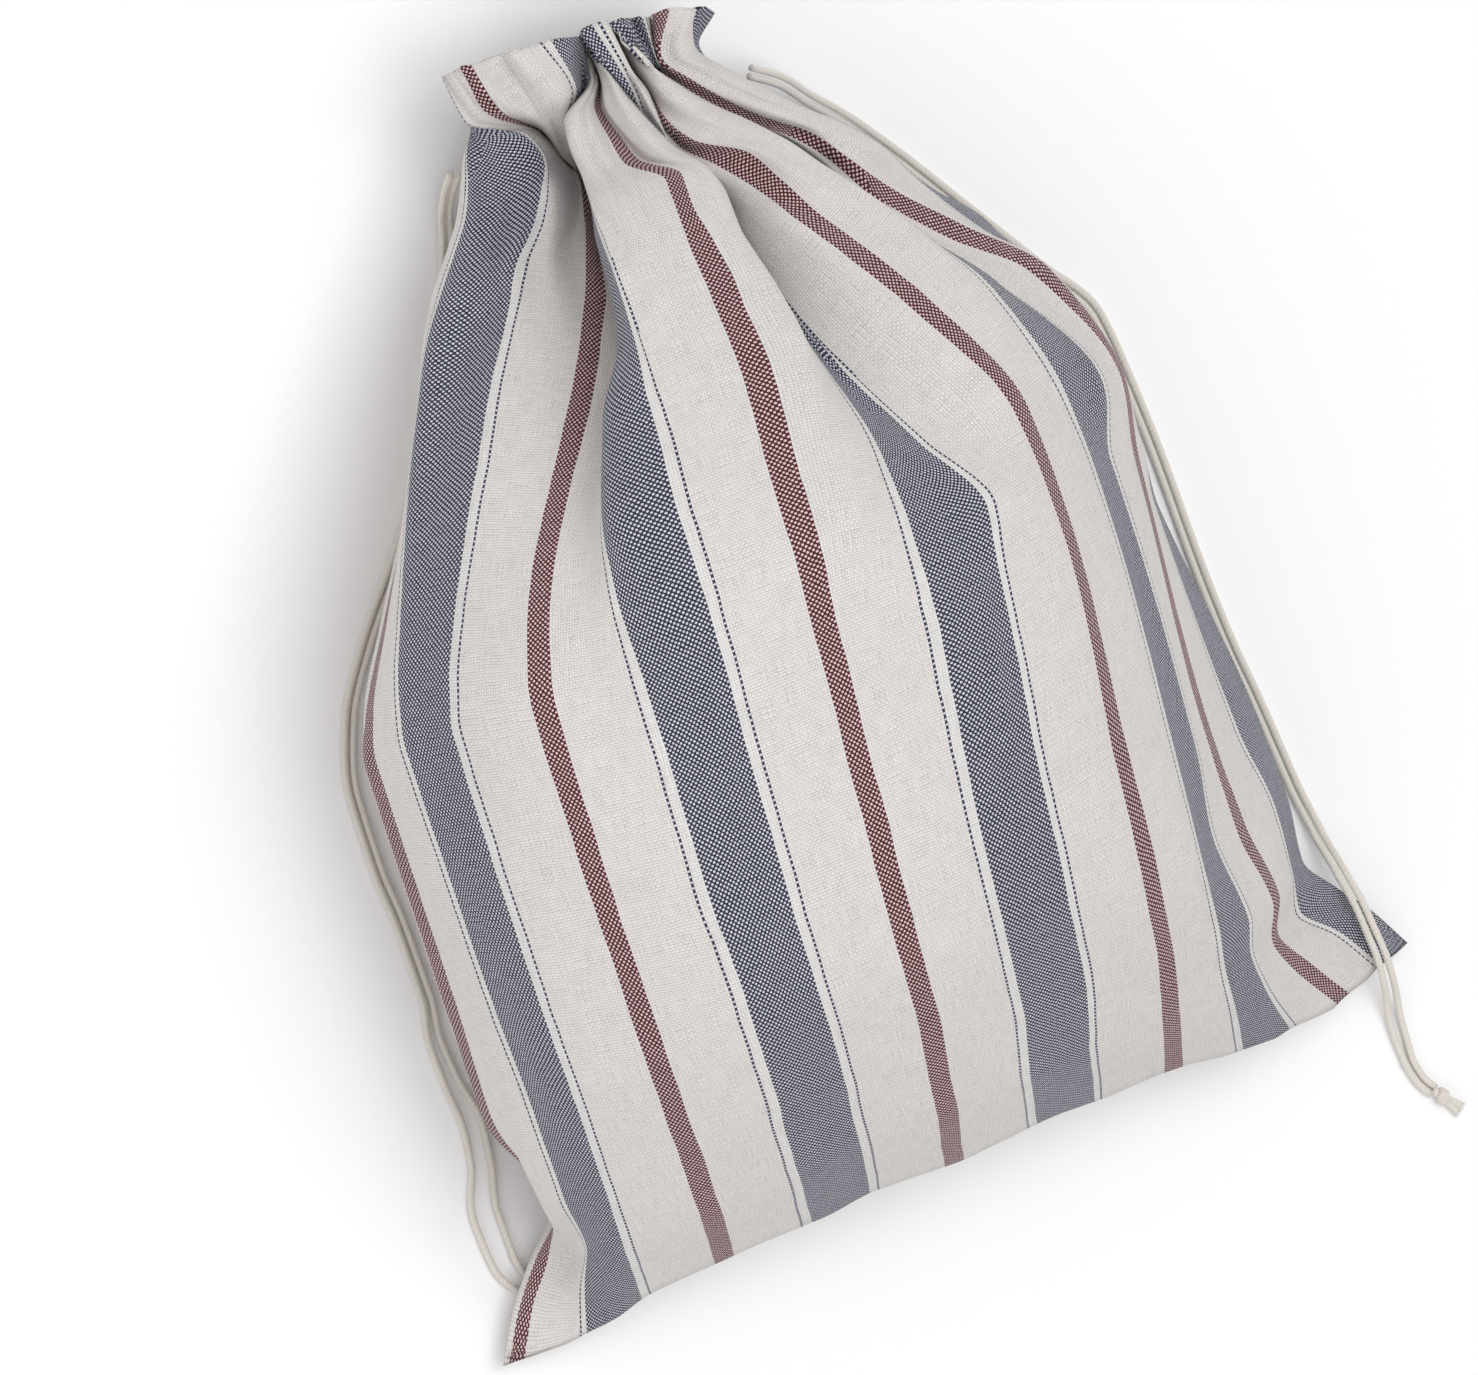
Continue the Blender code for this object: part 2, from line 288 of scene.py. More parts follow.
class NodeSheet:
    """The shader nodes of one material, added and wired by short calls."""

    def __init__(self, name: str) -> None:
        """Start a material that holds only a Principled shader and its output."""
        self.material = bpy.data.materials.new(name)
        self.material.use_nodes = True
        self.tree = self.material.node_tree
        self.shader = self.tree.nodes["Principled BSDF"]

    def feed(self, socket: Socket, value: object) -> None:
        """Give a socket a link or a plain value.

        Args:
            socket: The socket.
            value: Another node's output, a number or a colour.
        """
        if isinstance(value, Socket):
            self.tree.links.new(value, socket)
        elif isinstance(value, tuple):
            socket.default_value = (*value, 1.0)[: len(socket.default_value)]
        else:
            socket.default_value = value

    def set_shader(self, inputs: dict[str, object]) -> None:
        """Give the shader's own inputs their links or plain values."""
        for name, value in inputs.items():
            self.feed(self.shader.inputs[name], value)

    def math(self, operation: str, *values: object, clamp: bool = False) -> Socket:
        """Add a Math node.

        Args:
            operation: The node's operation.
            values: A number or a socket for each input.
            clamp: True to keep the result between nought and one.

        Returns:
            The result.
        """
        node = self.tree.nodes.new("ShaderNodeMath")
        node.operation, node.use_clamp = operation, clamp
        for socket, value in zip(node.inputs, values):
            self.feed(socket, value)
        return node.outputs[0]

    def scaled(self, value: object, factor: object, added: object) -> Socket:
        """Multiply a value by a factor and add to it."""
        return self.math("MULTIPLY_ADD", value, factor, added)

    def centred(self, value: object) -> Socket:
        """Move a value of nought to one to lie about nought."""
        return self.math("SUBTRACT", value, 0.5)

    def mix(self, share: object, first: object, second: object) -> Socket:
        """Mix two colours.

        Args:
            share: How much of the second to take, nought to one.
            first: A colour.
            second: Another.

        Returns:
            The mixed colour.
        """
        node = self.tree.nodes.new("ShaderNodeMix")
        node.data_type = "RGBA"
        for name, value in (("Factor_Float", share), ("A_Color", first), ("B_Color", second)):
            self.feed(next(socket for socket in node.inputs if socket.identifier == name), value)
        return next(socket for socket in node.outputs if socket.identifier == "Result_Color")

    def tint(self, colour: object, factor: object) -> Socket:
        """Make a colour lighter or darker.

        Args:
            colour: The colour.
            factor: What to multiply it by.

        Returns:
            The new colour.
        """
        node = self.tree.nodes.new("ShaderNodeVectorMath")
        node.operation = "SCALE"
        self.feed(node.inputs[0], colour)
        self.feed(node.inputs["Scale"], factor)
        return node.outputs[0]

    def pair(self, *values: object) -> Socket:
        """Join two numbers as a vector.

        Args:
            values: The numbers.

        Returns:
            The vector.
        """
        node = self.tree.nodes.new("ShaderNodeCombineXYZ")
        for socket, value in zip(node.inputs, values):
            self.feed(socket, value)
        return node.outputs[0]

    def noise(self, vector: object, scale: float, detail: float = 2.0) -> Socket:
        """Read a soft noise.

        Args:
            vector: Where to read it.
            scale: How fast it changes from place to place.
            detail: How many finer layers it has.

        Returns:
            A number from nought to one, mostly near a half.
        """
        node = self.tree.nodes.new("ShaderNodeTexNoise")
        self.feed(node.inputs["Vector"], vector)
        node.inputs["Scale"].default_value = scale
        node.inputs["Detail"].default_value = detail
        return node.outputs["Fac"]

    def map_pair(self, name: str) -> tuple[Socket, Socket]:
        """Read one of the mesh's maps.

        Args:
            name: The map's name.

        Returns:
            Both of its numbers.
        """
        source = self.tree.nodes.new("ShaderNodeUVMap")
        source.uv_map = name
        parts = self.tree.nodes.new("ShaderNodeSeparateXYZ")
        self.tree.links.new(source.outputs[0], parts.inputs[0])
        return parts.outputs[0], parts.outputs[1]

    def cloth_place(self) -> tuple[Socket, Socket]:
        """Read the place in the flat cloth, across and along, in millimetres."""
        across, along = self.map_pair("cloth")
        return self.math("DIVIDE", across, MM), self.math("DIVIDE", along, MM)

    def crowding(self) -> Socket:
        """Read how many warp ends lie where one would if the cloth were flat, as a whole number."""
        return self.math("MAXIMUM", self.math("ROUND", self.map_pair("crowding")[0]), 1.0)

    def bump(self, height: Socket, depth: float, strength: float = 0.5) -> None:
        """Raise the surface.

        Args:
            height: How far to raise it, nought to one.
            depth: How far one raises it, in millimetres.
            strength: How much of that the light shows.
        """
        node = self.tree.nodes.new("ShaderNodeBump")
        node.inputs["Distance"].default_value = depth * MM
        node.inputs["Strength"].default_value = strength
        self.feed(node.inputs["Height"], height)
        self.tree.links.new(node.outputs[0], self.shader.inputs["Normal"])


@dataclass(frozen=True)
class StripedLinen:
    """The plain-woven cloth: warp stripes of navy and maroon on undyed yarn, all crossed by pale weft."""

    pitch: float = 0.65  # one yarn to the next, in millimetres
    repeat: float = 72.0  # one blue stripe to the next
    blue_place: float = 44.0  # the first blue stripe's middle from the left side seam
    blue_half: float = 10.0
    flank_half: float = 12.3  # the whiter yarns beside the blue
    thread_place: float = 12.8  # the lone navy thread outside them
    maroon_half: float = 2.95
    undyed: Colour = (0.655, 0.615, 0.59)
    weft: Colour = (0.71, 0.68, 0.66)
    flank: Colour = (0.675, 0.665, 0.65)
    navy: Colour = (0.025, 0.027, 0.049)
    maroon: Colour = (0.070, 0.011, 0.015)
    weft_by_navy: Colour = (0.59, 0.59, 0.66)  # the weft as its dyed neighbours colour it
    weft_by_maroon: Colour = (0.67, 0.50, 0.51)
    gap_shade: float = 0.6  # how bright the gaps between yarns are, where painted shade darkens the warp yarn seen there
    hole_start: float = 1.3  # how far from a float's middle its gap is complete, one at its rim
    hole_edge: float = 1.8  # how sharply it starts
    warp_float: Pair = (0.50, 0.72)  # half its width and half its length, in yarns
    weft_float: Pair = (0.47, 0.56)
    dyed_float: Pair = (0.43, 0.47)  # the weft's float where dyed warp crowds it
    float_crown: float = 0.55  # how far a float falls from its middle to its rim
    yarn_depth: float = 0.16  # in millimetres
    sway: Pair = (0.045, 1.6)  # the warp's waver: its pace, and its reach in millimetres
    bow: Pair = (0.05, 2.2)  # the weft's
    drift_pace: float = 0.14  # how fast one yarn changes along its length
    drift_reach: Pair = (0.35, 0.45)  # how far that moves a warp end and a weft pick, in yarns
    drift_shade: Pair = (0.5, -0.3)  # how much it lightens each of them
    drift_thin: float = 0.9  # how much it thins the weft
    cloud: tuple[float, float, float] = (0.03, 0.08, 0.96)  # broad shading: its pace, its depth and its least
    fibre: Pair = (9.0, 0.25)  # the yarns' hairs: their pace and their height

    def material(self) -> bpy.types.Material:
        """Build the cloth's material.

        Returns:
            A material that draws each yarn from its place in the flat cloth.
        """
        sheet = NodeSheet("striped_linen")
        across, along = sheet.cloth_place()
        loose = sheet.pair(across, along)
        sway = sheet.centred(sheet.noise(loose, self.sway[0], 3.0))
        bow = sheet.centred(sheet.noise(sheet.pair(along, across), self.bow[0], 3.0))
        spacing = sheet.math("MULTIPLY", sheet.crowding(), self.pitch)
        warp = sheet.math("DIVIDE", sheet.scaled(sway, self.sway[1], across), spacing)
        weft = sheet.math("DIVIDE", sheet.scaled(bow, self.bow[1], along), self.pitch)
        end, pick = sheet.math("FLOOR", warp), sheet.math("FLOOR", weft)
        warp_drift = self.drift(sheet, end, sheet.math("MULTIPLY", along, self.drift_pace))
        weft_drift = self.drift(sheet, sheet.math("MULTIPLY", across, self.drift_pace), pick)
        aside = sheet.scaled(warp_drift, self.drift_reach[0], sheet.centred(sheet.math("FRACT", warp)))
        ahead = sheet.scaled(weft_drift, self.drift_reach[1], sheet.centred(sheet.math("FRACT", weft)))
        under = sheet.math("FLOORED_MODULO", sheet.math("ADD", end, pick), 2.0)
        warp_yarn, weft_yarn, dyed = self.yarn_colours(sheet, end, spacing)
        oval = self.oval(sheet, (aside, ahead), under, sheet.scaled(weft_drift, self.drift_thin, 1.0), dyed)
        gone = sheet.math("SUBTRACT", self.hole_start, oval)
        shown = sheet.math("MULTIPLY", gone, self.hole_edge, clamp=True)
        lit_warp = sheet.tint(warp_yarn, sheet.scaled(warp_drift, self.drift_shade[0], 1.0))
        lit_weft = sheet.tint(weft_yarn, sheet.scaled(weft_drift, self.drift_shade[1], 1.0))
        # The gaps between the floats show the warp yarn darkened by painted shade.
        woven = sheet.mix(shown, sheet.tint(warp_yarn, self.gap_shade), sheet.mix(under, lit_warp, lit_weft))
        cloud = sheet.scaled(sheet.noise(loose, self.cloud[0], 3.0), *self.cloud[1:])
        fibre = sheet.noise(loose, self.fibre[0], 3.0)
        crown = sheet.math("SUBTRACT", 1.0, sheet.math("MULTIPLY", oval, self.float_crown), clamp=True)
        sheet.set_shader({
            "Base Color": sheet.tint(woven, cloud),
            "Roughness": sheet.scaled(fibre, 0.15, 0.82),
            "Sheen Weight": 0.08,
            "Sheen Roughness": 0.6,
            "Specular IOR Level": 0.2,
        })
        sheet.bump(sheet.scaled(fibre, self.fibre[1], crown), self.yarn_depth)
        return sheet.material

    def drift(self, sheet: NodeSheet, first: Socket, second: Socket) -> Socket:
        """Vary one yarn along its length and from its neighbours.

        Args:
            sheet: The nodes to add to.
            first: The place across, whole for a warp end.
            second: The place along, whole for a weft pick.

        Returns:
            A number near nought, mostly within a quarter of it.
        """
        return sheet.centred(sheet.noise(sheet.pair(first, second), 1.0, 1.0))

    def oval(
        self, sheet: NodeSheet, place: tuple[Socket, Socket], under: Socket, swell: Socket, dyed: Socket
    ) -> Socket:
        """Measure how far a place is from the middle of the yarn float that covers it.

        Args:
            sheet: The nodes to add to.
            place: The place across its warp end and along its weft pick, each from minus a half to a half.
            under: One where the weft passes over the warp.
            swell: How much thinner than usual the weft is, near one.
            dyed: One where the warp is dyed.

        Returns:
            Nought at the float's middle and one at its rim.
        """
        across, along = (sheet.math("POWER", sheet.math("ABSOLUTE", each), 2.0) for each in place)
        wide, tall = (half**-2 for half in self.warp_float)
        warp_up = sheet.scaled(across, wide, sheet.math("MULTIPLY", along, tall))
        narrow, long = (
            sheet.scaled(dyed, crowded**-2 - plain**-2, plain**-2)
            for plain, crowded in zip(self.weft_float, self.dyed_float)
        )
        thin = sheet.math("MULTIPLY", narrow, swell)
        weft_up = sheet.scaled(along, thin, sheet.math("MULTIPLY", across, long))
        return sheet.scaled(sheet.math("SUBTRACT", weft_up, warp_up), under, warp_up)

    def yarn_colours(self, sheet: NodeSheet, end: Socket, spacing: Socket) -> tuple[Socket, ...]:
        """Colour each warp end, and the weft that crosses it, by its place in the stripe repeat.

        Args:
            sheet: The nodes to add to.
            end: The warp end's number.
            spacing: The flat cloth from one drawn end to the next.

        Returns:
            The warp's colour, the weft's colour, and one where the warp is dyed.
        """
        place = sheet.math("MULTIPLY", sheet.math("ADD", end, 0.5), spacing)
        start = self.blue_place - self.repeat / 2
        turned = sheet.math("FLOORED_MODULO", sheet.math("SUBTRACT", place, start), self.repeat)
        off = sheet.math("ABSOLUTE", sheet.math("SUBTRACT", turned, self.repeat / 2))
        blue = sheet.math("LESS_THAN", off, self.blue_half)
        flank = sheet.math("LESS_THAN", off, self.flank_half)
        thread = sheet.math("COMPARE", off, self.thread_place, sheet.math("MULTIPLY", spacing, 0.5))
        maroon = sheet.math("GREATER_THAN", off, self.repeat / 2 - self.maroon_half)
        navy = sheet.math("MAXIMUM", blue, thread)
        colour = sheet.mix(flank, self.undyed, self.flank)
        colour = sheet.mix(navy, colour, self.navy)
        crossing = sheet.mix(maroon, sheet.mix(navy, self.weft, self.weft_by_navy), self.weft_by_maroon)
        return sheet.mix(maroon, colour, self.maroon), crossing, sheet.math("MAXIMUM", navy, maroon)


@dataclass(frozen=True)
class CottonCord:
    """The soft, pale, finely knitted cotton cord."""

    colour: Colour = (0.72, 0.675, 0.62)
    stitch: float = 1.3  # one knitted loop to the next, in millimetres
    slant: float = 0.7  # how far a row of loops climbs for each millimetre around
    shading: float = 0.16  # how much painted shade darkens the gaps between loops, and how much the wisps vary
    depth: float = 0.22  # in millimetres

    def material(self) -> bpy.types.Material:
        """Build the cord's material.

        Returns:
            A material with slanting rows of small soft loops.
        """
        sheet = NodeSheet("cotton_cord")
        around, along = sheet.cloth_place()
        slanted = sheet.math("DIVIDE", sheet.scaled(around, self.slant, along), self.stitch)
        row = sheet.math("ABSOLUTE", sheet.centred(sheet.math("FRACT", slanted)))
        wisps = sheet.noise(sheet.pair(around, along), 3.0, 4.0)
        shade = sheet.scaled(wisps, self.shading, 1.0 - self.shading / 2)
        # Painted shade darkens the gaps between the rows of loops.
        shade = sheet.math("SUBTRACT", shade, sheet.math("MULTIPLY", row, self.shading))
        sheet.set_shader({
            "Base Color": sheet.tint(self.colour, shade),
            "Roughness": sheet.scaled(wisps, 0.1, 0.85),
            "Sheen Weight": 0.25,
            "Specular IOR Level": 0.15,
        })
        sheet.bump(sheet.math("SUBTRACT", wisps, row), self.depth)
        return sheet.material


@dataclass(frozen=True)
class PalePaper:
    """The matt white paper that the bag lies on."""

    colour: Colour = (0.93, 0.93, 0.93)
    tooth: Pair = (900.0, 0.02)  # its fineness, for each metre, and its shading

    def material(self) -> bpy.types.Material:
        """Build the floor's material.

        Returns:
            A white material with a barely seen tooth.
        """
        sheet = NodeSheet("pale_paper")
        fineness, shading = self.tooth
        place = sheet.tree.nodes.new("ShaderNodeNewGeometry").outputs["Position"]
        shade = sheet.scaled(sheet.noise(place, fineness), shading, 1.0 - shading / 2)
        sheet.set_shader(
            {"Base Color": sheet.tint(self.colour, shade), "Roughness": 0.95, "Specular IOR Level": 0.1}
        )
        return sheet.material


@dataclass(frozen=True)
class SoftLight:
    """One soft square light that looks at the bag."""

    name: str
    aim: tuple[float, float, float]  # how far it stands to the frame's right, up it, and towards the eye
    reach: float  # its distance from the bag, in metres
    size: float  # its side, in metres
    power: float  # in watts

    def build(self, right: Vector, up: Vector, toward: Vector) -> None:
        """Add the light.

        Args:
            right: The frame's right.
            up: Its up.
            toward: The way back to the eye.
        """
        way = (right * self.aim[0] + up * self.aim[1] + toward * self.aim[2]).normalized()
        data = bpy.data.lights.new(self.name, "AREA")
        data.shape, data.size, data.energy = "SQUARE", self.size, self.power
        lamp = bpy.data.objects.new(self.name, data)
        lamp.location = way * self.reach
        lamp.rotation_mode = "QUATERNION"
        lamp.rotation_quaternion = way.to_track_quat("Z", "Y")
        bpy.context.scene.collection.objects.link(lamp)


@dataclass(frozen=True)
class Studio:
    """The camera, the pale floor and the soft lights."""

    distance: float = 9.0  # from the eye to the frame's middle, in metres
    near_and_far: Pair = (0.5, 60.0)  # what the camera sees between, in metres
    sensor: float = 36.0
    frame_width: float = 0.3473  # in metres, at the bag
    roll_across: float = 0.9466  # the frame's right hand is this much across the face
    roll_along: float = 0.3216  # and this much down it
    target: tuple[float, float, float] = (-11.2, 124.8, 60.0)  # the frame's middle: across, along, height
    lights: tuple[SoftLight, ...] = (
        SoftLight("key", (0.45, 0.1, 1.0), 1.8, 1.3, 16.0),
        SoftLight("fill", (-0.6, -0.6, 0.8), 2.0, 1.6, 7.0),
    )
    room_light: float = 0.64
    floor_half: float = 9.0
    floor_drop: float = 0.0002  # keeps the floor clear of the bag's underside

    def axes(self) -> tuple[Vector, Vector, Vector]:
        """Find how the frame lies.

        Returns:
            The frame's right, its up and the way back to the eye.
        """
        across, along, toward = sight_axes()
        right = across * self.roll_across - along * self.roll_along
        up = across * self.roll_along + along * self.roll_across
        return Vector(right), Vector(up), Vector(toward)

    def add_camera(self, shift: Array) -> None:
        """Set up the camera.

        Args:
            shift: The shift that brings the face's plane to the frame, in millimetres.
        """
        right, up, toward = self.axes()
        across, along, height = (np.array(each) for each in self.target)
        middle = Vector((placed(across, along, height) + shift) * MM)
        data = bpy.data.cameras.new("camera")
        data.sensor_width = self.sensor
        data.lens = self.sensor * self.distance / self.frame_width
        data.clip_start, data.clip_end = self.near_and_far
        camera = bpy.data.objects.new("camera", data)
        turned = Matrix((right, up, toward)).transposed().to_4x4()
        camera.matrix_world = Matrix.Translation(middle + toward * self.distance) @ turned
        bpy.context.scene.collection.objects.link(camera)
        bpy.context.scene.camera = camera

    def add_floor(self) -> None:
        """Lay the pale floor under the bag."""
        mesh = bpy.data.meshes.new("floor")
        work = bmesh.new()
        bmesh.ops.create_grid(work, x_segments=8, y_segments=8, size=self.floor_half)
        work.to_mesh(mesh)
        work.free()
        floor = bpy.data.objects.new("floor", mesh)
        floor.location.z = -self.floor_drop
        bpy.context.scene.collection.objects.link(floor)
        mesh.materials.append(PalePaper().material())

    def build(self, shift: Array) -> None:
        """Make the whole studio.

        Args:
            shift: The shift that brings the face's plane to the frame, in millimetres.
        """
        self.add_camera(shift)
        for light in self.lights:
            light.build(*self.axes())
        world = bpy.data.worlds.new("room")
        world.use_nodes = True
        ground = world.node_tree.nodes["Background"]
        ground.inputs["Color"].default_value = (1.0, 1.0, 1.0, 1.0)
        ground.inputs["Strength"].default_value = self.room_light
        bpy.context.scene.world = world
        bpy.context.scene.view_settings.view_transform = "Standard"
        self.add_floor()


class Side(Enum):
    """The bag's side seams, as the eye sees them."""

    LEFT = "left"
    RIGHT = "right"


# Each pair of strands, from the channel to its knot: places across and along, the height of its middle, and
# the gap between the two, in millimetres.
ROUTES: dict[Side, tuple[tuple[float, float, float, float], ...]] = {
    Side.RIGHT: (
        (38, 261.5, 18, 0.4), (44.5, 257, 13, 0.4), (49, 251.5, 8.5, 0.4), (55.5, 244.5, 3.6, 0.4),
        (62, 236, 1.3, 0.4), (75, 216.5, 1.2, 0.4), (88, 196.5, 1.2, 0.4), (97.6, 181.5, 1.2, 0.4),
        (99.5, 165, 1.2, 0.4), (100.8, 143, 1.2, 0.4), (101.3, 120, 1.2, 0.4), (102.4, 99, 1.2, 0.4),
        (104.2, 82.5, 1.2, 0.4), (106.2, 60.5, 1.2, 0.4), (108, 48, 3, 0.4), (110, 38, 8.5, 0.4),
        (112, 27, 12, 0.4), (112.9, 17, 12, 0.5), (112.8, 10, 9.3, 0.8), (112, 4, 4, 1.2),
        (111.2, -3, 1.4, 1.2), (111.2, -10, 1.2, 0.5), (112.6, -16.3, 1.2, 0.3), (114.6, -19.4, 1.2, 0.3),
    ),
    Side.LEFT: (
        (-35.6, 261, 17, 0.4), (-39.2, 256, 10, 0.4), (-41.6, 250, 3.2, 0.4), (-45, 240, 1.2, 0.4),
        (-52.5, 222, 1.2, 0.4), (-63, 200, 1.2, 0.4), (-76, 182, 1.2, 0.4), (-92, 161.5, 1.2, 0.4),
        (-100.6, 147, 1.2, 0.4), (-105.5, 129, 1.2, 0.4), (-105.8, 112, 1.2, 0.4), (-104.8, 97, 1.2, 0.4),
        (-104.6, 79, 1.2, 0.6), (-106, 69, 1.2, 1.2), (-105.5, 59, 1.2, 1.8), (-104, 48, 1.2, 3.1),
        (-105, 38, 1.2, 3.3), (-108, 26, 1.2, 4.6), (-107.5, 14, 1.2, 4), (-103.5, 6, 1.2, 1.6),
        (-98.5, 2.5, 1.2, 0.4),
    ),
}


def tube(path: Array, radii: Array, sides: int, start: int = 0) -> tuple[Array, Faces, list[Pair]]:
    """Sweep a round section along a path.

    Args:
        path: The section's middles, in millimetres.
        radii: Its radius at each of them.
        sides: How many sides it has.
        start: The number that the first point takes.

    Returns:
        The points, the faces facing out, and a place around and along for each face corner, in metres.
    """
    upright = 0.05  # the path is taken as upright where it leans less than this
    heading = np.gradient(path, axis=0)
    heading /= np.linalg.norm(heading, axis=1, keepdims=True)
    aside = np.cross(heading, (0.0, 0.0, 1.0))
    flat = np.linalg.norm(aside, axis=1, keepdims=True)
    aside = np.where(flat > upright, aside / np.maximum(flat, TINY), (1.0, 0.0, 0.0))
    lift = np.cross(aside, heading)
    turns = np.arange(sides) * 2 * math.pi / sides
    ring = np.cos(turns)[None, :, None] * aside[:, None] + np.sin(turns)[None, :, None] * lift[:, None]
    points = (path[:, None] + ring * radii[:, None, None]).reshape(-1, 3)
    points = np.concatenate([points, path[:1], path[-1:]])
    reach = lengths_along(path)
    faces, places = [], []
    girth = 2 * math.pi * float(np.mean(radii)) * MM
    for row in range(len(path) - 1):
        for step in range(sides):
            after = (step + 1) % sides
            here, there = start + row * sides, start + (row + 1) * sides
            faces.append((here + step, here + after, there + after, there + step))
            low, high = step / sides * girth, (step + 1) / sides * girth
            near, far = reach[row] * MM, reach[row + 1] * MM
            places += [(low, near), (high, near), (high, far), (low, far)]
    first, last, end = len(path) * sides, len(path) * sides + 1, (len(path) - 1) * sides
    for step in range(sides):
        after = (step + 1) % sides
        faces.append((start + first, start + after, start + step))
        faces.append((start + last, start + end + step, start + end + after))
        places += [(0.0, 0.0)] * 6
    return points, faces, places


@dataclass(frozen=True)
class OverhandKnot:
    """The small knot that ties two strands, and the two frayed ends beyond it. Its sizes are in millimetres.

    Along counts from where the strands end, aside from their middle line and up from its height.
    """

    sides: int = 14
    wrap_points: int = 60
    core_points: int = 16
    tail_points: int = 12
    wisp_points: int = 5
    wrap_turns: Pair = (-0.6, 3.0)  # where the wrap starts and stops, in half turns
    wrap_along: Pair = (1.2, 3.1)
    wrap_half: Pair = (1.1, 1.05)  # half its width and half its height
    wrap_up: float = 0.95
    wrap_radius: float = 0.82
    core_along: Pair = (-0.3, 4.8)
    core_up: Pair = (0.2, 0.5)
    core_rows: tuple[float, ...] = (0.0, 4.0, 10.0, 15.0)
    core_radii: tuple[float, ...] = (0.8, 1.2, 1.1, 0.75)  # at those of its points
    tail_along: Pair = (3.3, 7.7)
    tail_aside: Pair = (0.35, 0.8)
    tail_up: Pair = (0.3, 0.15)
    tail_radii: tuple[float, ...] = (0.75, 0.85, 0.9)  # at its start, middle and end
    wisps: int = 26  # loose fibres at each end
    wisp_length: Pair = (0.8, 1.7)
    wisp_start: tuple[float, float, float] = (0.7, 0.6, -0.5)  # aside, up and along from the tail's end
    wisp_splay: tuple[float, float, float] = (0.5, 0.3, -0.1)  # aside, up and droop over its length
    wisp_curl: float = 0.2
    wisp_radii: Pair = (0.11, 0.04)
    lowest: float = 0.12
    seed: int = 5

    def wisp(self, draws: np.random.Generator, root: Array, axes: tuple[Array, Array, Array]) -> Array:
        """Set out one loose fibre.

        Args:
            draws: The random draws.
            root: Where the tail ends.
            axes: The ways along, aside and up.

        Returns:
            Its path.
        """
        way, aside, up = axes
        spread = draws.uniform(-1.0, 1.0, 2)
        start = root + aside * spread[0] * self.wisp_start[0] + up * spread[1] * self.wisp_start[1]
        start = start + way * self.wisp_start[2]
        out = way * draws.uniform(*self.wisp_length) + aside * spread[0] * self.wisp_splay[0]
        out = out + up * (spread[1] * self.wisp_splay[1] + self.wisp_splay[2])
        steps = np.linspace(0, 1, self.wisp_points)[:, None]
        path = start + out * steps + aside * draws.normal(0, self.wisp_curl) * steps**2
        path[:, 2] = np.maximum(path[:, 2], self.lowest)
        return path

    def strands(self, end: Array, heading: Array) -> list[tuple[Array, Array]]:
        """Set out every stretch of cord and fibre in the knot.

        Args:
            end: Where the strands' middle line ends.
            heading: The way that it points there.

        Returns:
            Each stretch's path and its radii.
        """
        way = np.array((heading[0], heading[1], 0.0)) / math.hypot(heading[0], heading[1])
        aside, up = np.array((-way[1], way[0], 0.0)), np.array((0.0, 0.0, 1.0))

        def line(along: Array, beside: Array, above: Array) -> Array:
            """Place points by how far they lie along, aside and up."""
            return end + along[:, None] * way + beside[:, None] * aside + above[:, None] * up

        turn = np.linspace(*self.wrap_turns, self.wrap_points) * math.pi
        wrap = line(
            np.linspace(*self.wrap_along, self.wrap_points),
            self.wrap_half[0] * np.cos(turn),
            self.wrap_up + self.wrap_half[1] * np.sin(turn),
        )
        core = line(
            np.linspace(*self.core_along, self.core_points),
            np.zeros(self.core_points),
            np.linspace(*self.core_up, self.core_points),
        )
        core_radii = np.interp(np.arange(self.core_points), self.core_rows, self.core_radii)
        tail_radii = np.interp(np.linspace(0, 1, self.tail_points), (0.0, 0.5, 1.0), self.tail_radii)
        wisp_radii = np.linspace(*self.wisp_radii, self.wisp_points)
        made = [(wrap, np.full(self.wrap_points, self.wrap_radius)), (core, core_radii)]
        draws = np.random.default_rng(self.seed)
        for hand in (1.0, -1.0):
            tail = line(
                np.linspace(*self.tail_along, self.tail_points),
                hand * np.linspace(*self.tail_aside, self.tail_points),
                np.linspace(*self.tail_up, self.tail_points),
            )
            made.append((tail, tail_radii))
            for _ in range(self.wisps):
                made.append((self.wisp(draws, tail[-1], (way, aside, up)), wisp_radii))
        return made

    def build(self, side: Side, end: Array, heading: Array, finish: bpy.types.Material) -> bpy.types.Object:
        """Make the knot and dress it.

        Args:
            side: The side seam that its drawstring leaves by.
            end: Where the strands' middle line ends.
            heading: The way that it points there.
            finish: The cord's material.

        Returns:
            The knot.
        """
        points: list[Array] = []
        faces: Faces = []
        places: list[Pair] = []
        for path, radii in self.strands(end, heading):
            made, skin, spots = tube(path, radii, self.sides, sum(len(each) for each in points))
            points.append(made)
            faces.extend(skin)
            places.extend(spots)
        layers = {"cloth": np.array(places)}
        tied = piece_from(f"knot_{side.value}_tied", np.concatenate(points), faces, layers)
        tied.data.materials.append(finish)
        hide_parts(f"knot_{side.value}")
        return tied


